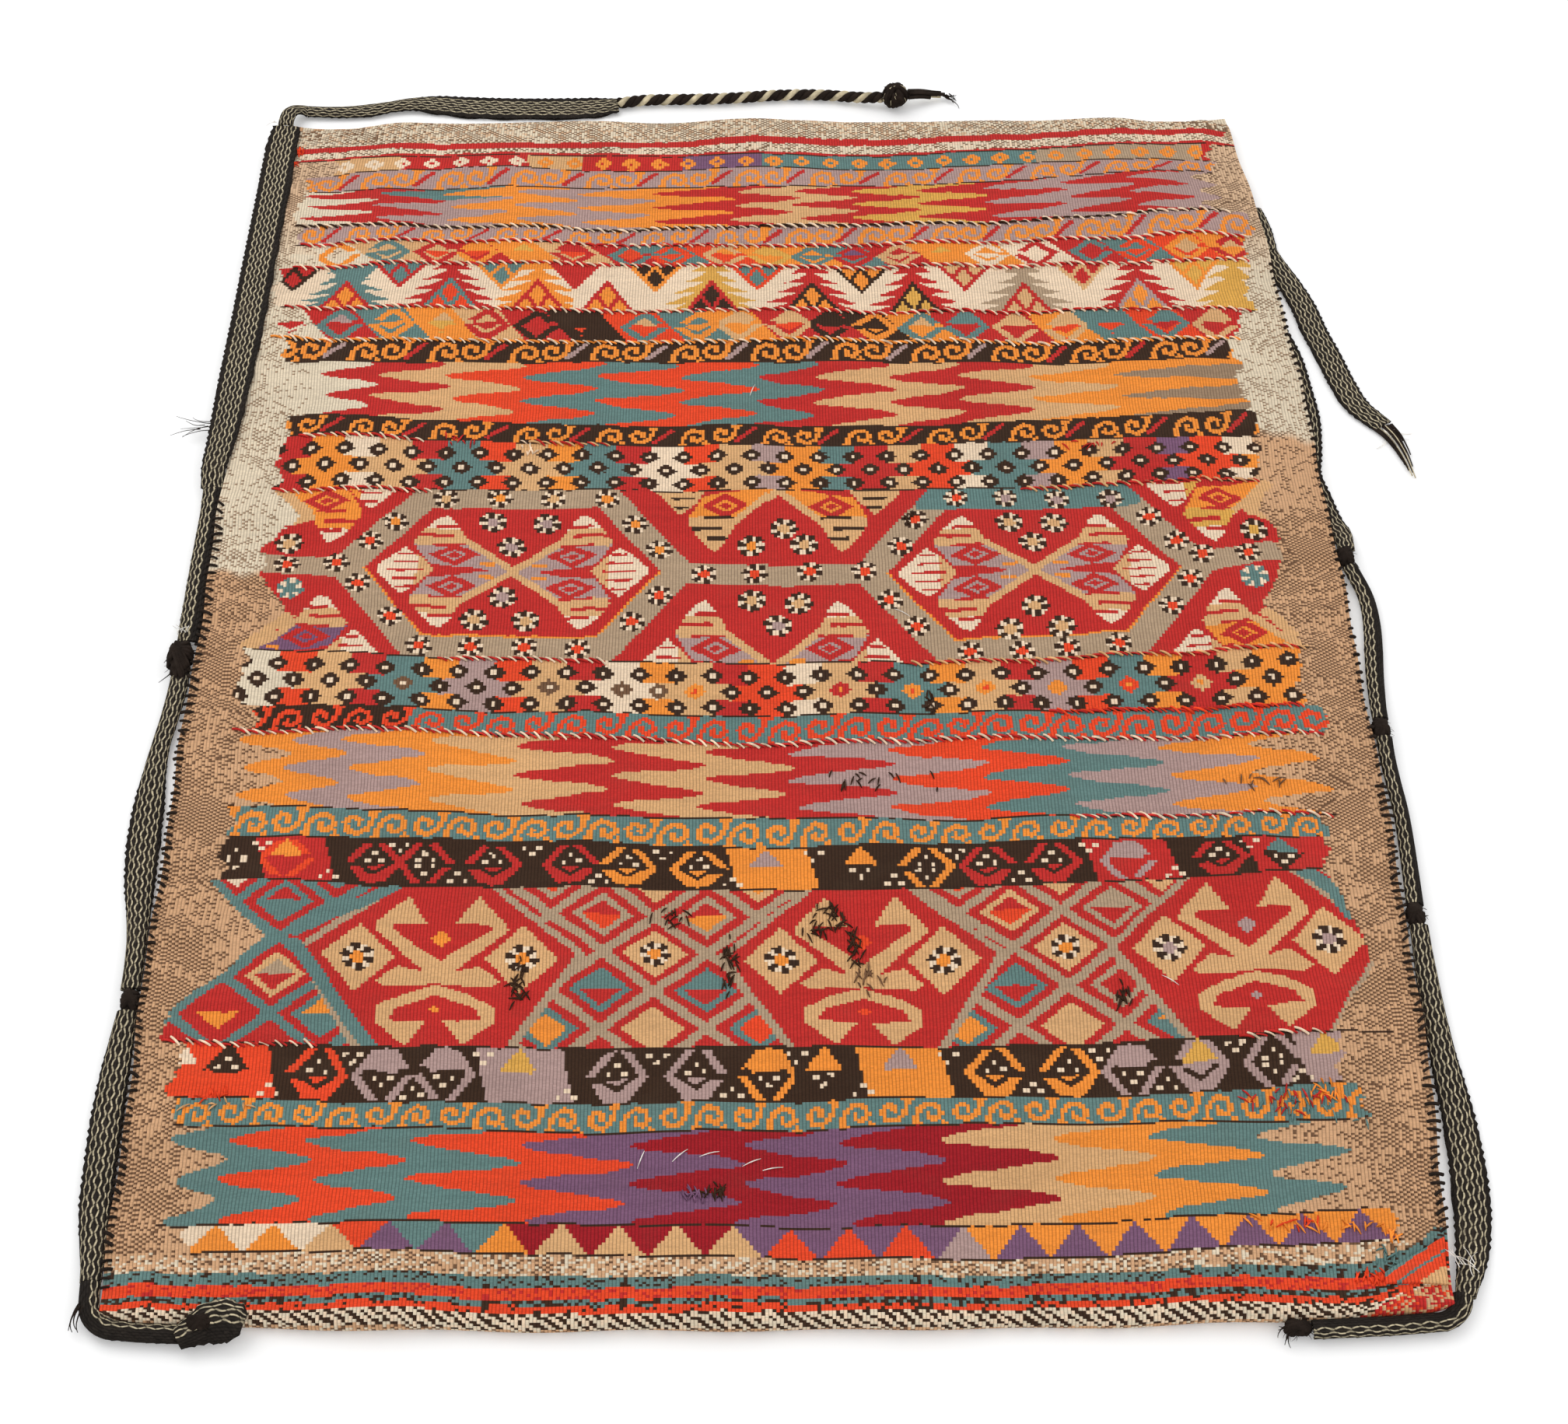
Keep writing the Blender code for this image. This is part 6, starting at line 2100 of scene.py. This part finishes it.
# Raised stitches: number of the band whose lower edge they follow, from and to in mm, two yarns
SEAM_LINES = (
    (11, -384, -292, "CW"), (11, 300, 352, "CW"), (14, 205, 380, "CW"), (15, -368, 384, "CW"),
    (16, 200, 374, "CR"), (17, -232, -118, "CW"), (17, 100, 382, "CB"), (18, -366, -252, "CW"),
    (18, 195, 372, "CB"), (19, -352, -262, "CW"), (19, -176, -120, "BC"), (22, -384, 376, "OW"),
    (23, -378, 388, "CW"), (24, -376, 394, "CW"), (25, -372, 398, "CW"), (26, -378, 388, "KW"),
)
# Darned places: x, y, half width and half height in mm, yarn and number of stitches
DARNS = (
    (-165, -335, 6, 16, "K", 26), (-30, -322, 7, 22, "K", 30), (-66, -282, 9, 9, "K", 12),
    (40, -284, 12, 14, "K", 30), (52, -306, 7, 16, "K", 26), (28, -296, 9, 8, "K", 12),
    (112, -96, 3, 12, "K", 8), (225, -345, 5, 11, "K", 18), (-40, -490, 11, 5, "K", 22),
    (-52, -492, 9, 4, "P", 14), (66, -172, 40, 13, "K", 16), (60, -330, 10, 10, "U", 14),
    (104, 82, 3, 9, "K", 8), (330, -170, 24, 7, "U", 10), (322, -424, 34, 9, "C", 26),
    (330, -430, 32, 9, "T", 14), (344, -420, 18, 9, "O", 14), (334, -514, 34, 5, "O", 16),
    (320, -512, 26, 4, "R", 10), (-352, -418, 14, 6, "R", 8), (-345, -424, 24, 5, "B", 6),
    (-392, 526, 7, 5, "R", 26), (-394, 507, 5, 5, "R", 14), (355, -548, 13, 5, "R", 16),
    (368, -536, 8, 7, "T", 10), (372, -520, 8, 5, "O", 8), (250, 161, 26, 4, "C", 8),
    (-232, 164, 18, 5, "C", 10), (-180, 154, 8, 7, "W", 9),
)
# White lint: x and y in mm
LINT = (
    (-60, -464), (-42, -463), (-84, -466), (-16, -468), (-3, -472), (256, -334), (-10, 222), (96, -12),
    (176, 24),
)


def on_cloth(x, y, lift=0.0):
    """A point above the upper cloth, from its place in mm."""
    x, y = x / 1000, y / 1000
    return Vector((x, y + float(mouth_drift(x, y)), float(top_z(x, y)) + lift))


def lay(ob):
    """Bake a piece's transform into its mesh."""
    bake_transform(ob)


class SACK_OT_mends(Step):
    """Add raised stitches, darned places and lint to the upper cloth"""

    bl_idname = "sack.mends"
    bl_label = "Mends"

    def build(self):
        letters = sorted({c for row in SEAM_LINES for c in row[3]} | {row[4] for row in DARNS})
        for side, label in ((LEFT, "left"), (RIGHT, "right")):
            for letter in letters:
                parts = self.seams(side, letter) + self.darns(side, letter)
                if parts:
                    ob = join(f"{label}_mend_{YARN_NAMES[code(letter)]}", parts, letter_yarn(letter))
                    lay(ob)
            rng = random.Random(side + 5)
            rows = []
            for x, y in LINT:
                if x * side > 0:
                    rows += self.stitch(x, y, rng.uniform(0, math.pi), 13, 0.0004)
            lay(yarn_mesh(f"{label}_lint", rows, loose("Lint")))

    def seams(self, side, letter):
        """Stitches of one yarn along the edges of the bands of pattern."""
        lines = {0: [], 1: []}
        for number, start, end, pair in SEAM_LINES:
            start, end = (max(start, 2), end) if side == RIGHT else (start, min(end, -2))
            if letter not in pair or end - start < 20:
                continue
            turn = pair.index(letter)
            xs = np.arange(start + 4.5 * turn, end, 6)
            ys = np.interp(xs, STATIONS, BANDS[number][0]) + 0.8 * np.sin(xs / 17.0) - 0.8 * drift(xs, 4, 95)
            lines[turn].append([on_cloth(x, y, 0.0002) for x, y in zip(xs, ys)])
        return [
            stitched(
                "seam",
                found,
                letter_yarn(letter),
                Pitch=0.0088,
                Reach=0.0088,
                Rise=0.0012,
                Yarn_radius=0.0008,
                Slant=1.25 - 0.3 * turn,
                Uneven=0.22,
                Seed=7 + turn,
            )
            for turn, found in lines.items()
            if found
        ]

    def darns(self, side, letter):
        """Short stitches of one yarn crowded into worn places."""
        rows = []
        for number, (x, y, wide, tall, yarn, count) in enumerate(DARNS):
            if yarn != letter or x * side < 0:
                continue
            rng = random.Random(number)
            for _ in range(count):
                u, w = rng.gauss(0, 0.45) * wide, rng.gauss(0, 0.45) * tall
                u = min(max(x + u, -398), 398)
                rows += self.stitch(u, y + w, math.pi / 2 + rng.gauss(0, 0.6), rng.uniform(4, 10), 0.0007)
        return [yarn_mesh("darn", rows, [letter_yarn(letter)])] if rows else []

    def stitch(self, x, y, turn, long, radius):
        """One short arched stitch. Place and length in mm."""
        line, thin = [], []
        for k in range(5):
            share = k / 2 - 1
            away = share * long / 2
            place = on_cloth(x + away * math.cos(turn), y + away * math.sin(turn), 0.0011 * (1 - share**2))
            line.append(place)
            thin.append(radius * (1 - 0.5 * abs(share)))
        return [(line, thin, 0, 5)]


class SACK_OT_stage(Step):
    """Set the floor, the lamps and the camera"""

    bl_idname = "sack.stage"
    bl_label = "Stage"
    camera_place = (-0.0330, -1.3465, 1.4761)
    # Pitch, yaw and roll in degrees
    camera_angles = (49.706, 1.957, 1.416)
    floor_reach, floor_z = 6.0, -0.0004
    floor_shade, floor_roughness, floor_glow = 0.9, 0.9, 0.16

    def build(self):
        stage = settings("stage")
        self.camera(stage)
        self.floor()
        for name, power, place, size in (
            ("Key lamp", stage.key, (-1.3, 1.1, 2.3), 2.2),
            ("Fill lamp", stage.fill, (1.7, -1.3, 2.0), 2.6),
        ):
            lamp = bpy.data.lights.new(name, "AREA")
            lamp.energy = power
            lamp.size = size
            ob = bpy.data.objects.new(name, lamp)
            ob.location = place
            ob.rotation_euler = (-ob.location).to_track_quat("-Z", "Y").to_euler()
            bpy.context.scene.collection.objects.link(ob)
        world = bpy.data.worlds.new("Studio")
        world.use_nodes = True
        nodes = Nodes(world.node_tree)
        ground = world.node_tree.nodes["Background"].inputs
        ground["Color"].default_value = (1, 1, 1, 1)
        nodes.put(ground["Strength"], nodes.ramp(nodes.seen(), 0, 1, stage.sky, 1.0))
        bpy.context.scene.world = world
        bpy.context.scene.view_settings.view_transform = "Standard"

    def camera(self, stage):
        """The camera as the photograph was taken."""
        camera = bpy.data.cameras.new("Camera")
        camera.lens = stage.lens
        camera.sensor_width = 36.0
        camera.clip_start = 0.05
        ob = bpy.data.objects.new("Camera", camera)
        bpy.context.scene.collection.objects.link(ob)
        pitch, yaw, roll = (math.radians(angle) for angle in self.camera_angles)
        forward = Vector((math.sin(yaw) * math.cos(pitch), math.cos(yaw) * math.cos(pitch), -math.sin(pitch)))
        right = Vector((math.cos(yaw), -math.sin(yaw), 0.0))
        up = right.cross(forward)
        turned = math.cos(roll) * right + math.sin(roll) * up
        raised = -math.sin(roll) * right + math.cos(roll) * up
        axes = Matrix((turned, raised, -forward)).transposed().to_4x4()
        ob.matrix_world = Matrix.Translation(self.camera_place) @ axes
        bpy.context.scene.camera = ob

    def floor(self):
        """A white floor that keeps the sack's shadow."""
        mesh = bpy.data.meshes.new("floor")
        corners = ((-1, -1), (1, -1), (1, 1), (-1, 1))
        points = [(self.floor_reach * x, self.floor_reach * y, 0) for x, y in corners]
        mesh.from_pydata(points, [], [(0, 1, 2, 3)])
        material = bpy.data.materials.new("Floor")
        material.use_nodes = True
        tree = material.node_tree
        nodes = Nodes(tree)
        shader = tree.nodes["Principled BSDF"]
        shader.inputs["Base Color"].default_value = (*[self.floor_shade] * 3, 1)
        shader.inputs["Roughness"].default_value = self.floor_roughness
        glow = nodes.add("ShaderNodeEmission", {"Strength": self.floor_glow})
        both = nodes.add("ShaderNodeAddShader", {0: shader.outputs[0], 1: glow.outputs[0]})
        choice = nodes.add("ShaderNodeMixShader", {0: nodes.seen(), 1: shader.outputs[0], 2: both.outputs[0]})
        nodes.put(tree.nodes["Material Output"].inputs["Surface"], choice.outputs[0])
        ob = add_object("floor", mesh, material)
        ob.location.z = self.floor_z


OPERATORS = (
    SACK_OT_stage,
    SACK_OT_free_bands,
    SACK_OT_sewn_bands,
    SACK_OT_knots,
    SACK_OT_back_cloth,
    SACK_OT_fold_cloth,
    SACK_OT_front_cloth,
    SACK_OT_edge_stitches,
    SACK_OT_corner_patch,
    SACK_OT_mends,
)


class SACK_PT_panel(bpy.types.Panel):
    """Lists the steps that dress the sack."""

    bl_label = "Sack"
    bl_idname = "SACK_PT_panel"
    bl_space_type = "VIEW_3D"
    bl_region_type = "UI"
    bl_category = "Sack"

    def draw(self, context):
        for operator in OPERATORS:
            self.layout.operator(operator.bl_idname)


SETTINGS = {"yarns": YarnColours, "cloth": ClothSettings, "bands": BandSettings, "stage": StageSettings}


def register():
    for group in SETTINGS.values():
        bpy.utils.register_class(group)
    for name, group in SETTINGS.items():
        setattr(bpy.types.Scene, f"sack_{name}", PointerProperty(type=group))
    for operator in OPERATORS:
        bpy.utils.register_class(operator)
    bpy.utils.register_class(SACK_PT_panel)


def unregister():
    bpy.utils.unregister_class(SACK_PT_panel)
    for operator in reversed(OPERATORS):
        bpy.utils.unregister_class(operator)
    for name, group in SETTINGS.items():
        delattr(bpy.types.Scene, f"sack_{name}")
        bpy.utils.unregister_class(group)


def main():
    """Build every group in order."""
    register()
    for operator in OPERATORS:
        family, step = operator.bl_idname.split(".")
        getattr(getattr(bpy.ops, family), step)()


if __name__ == "__main__":
    main()
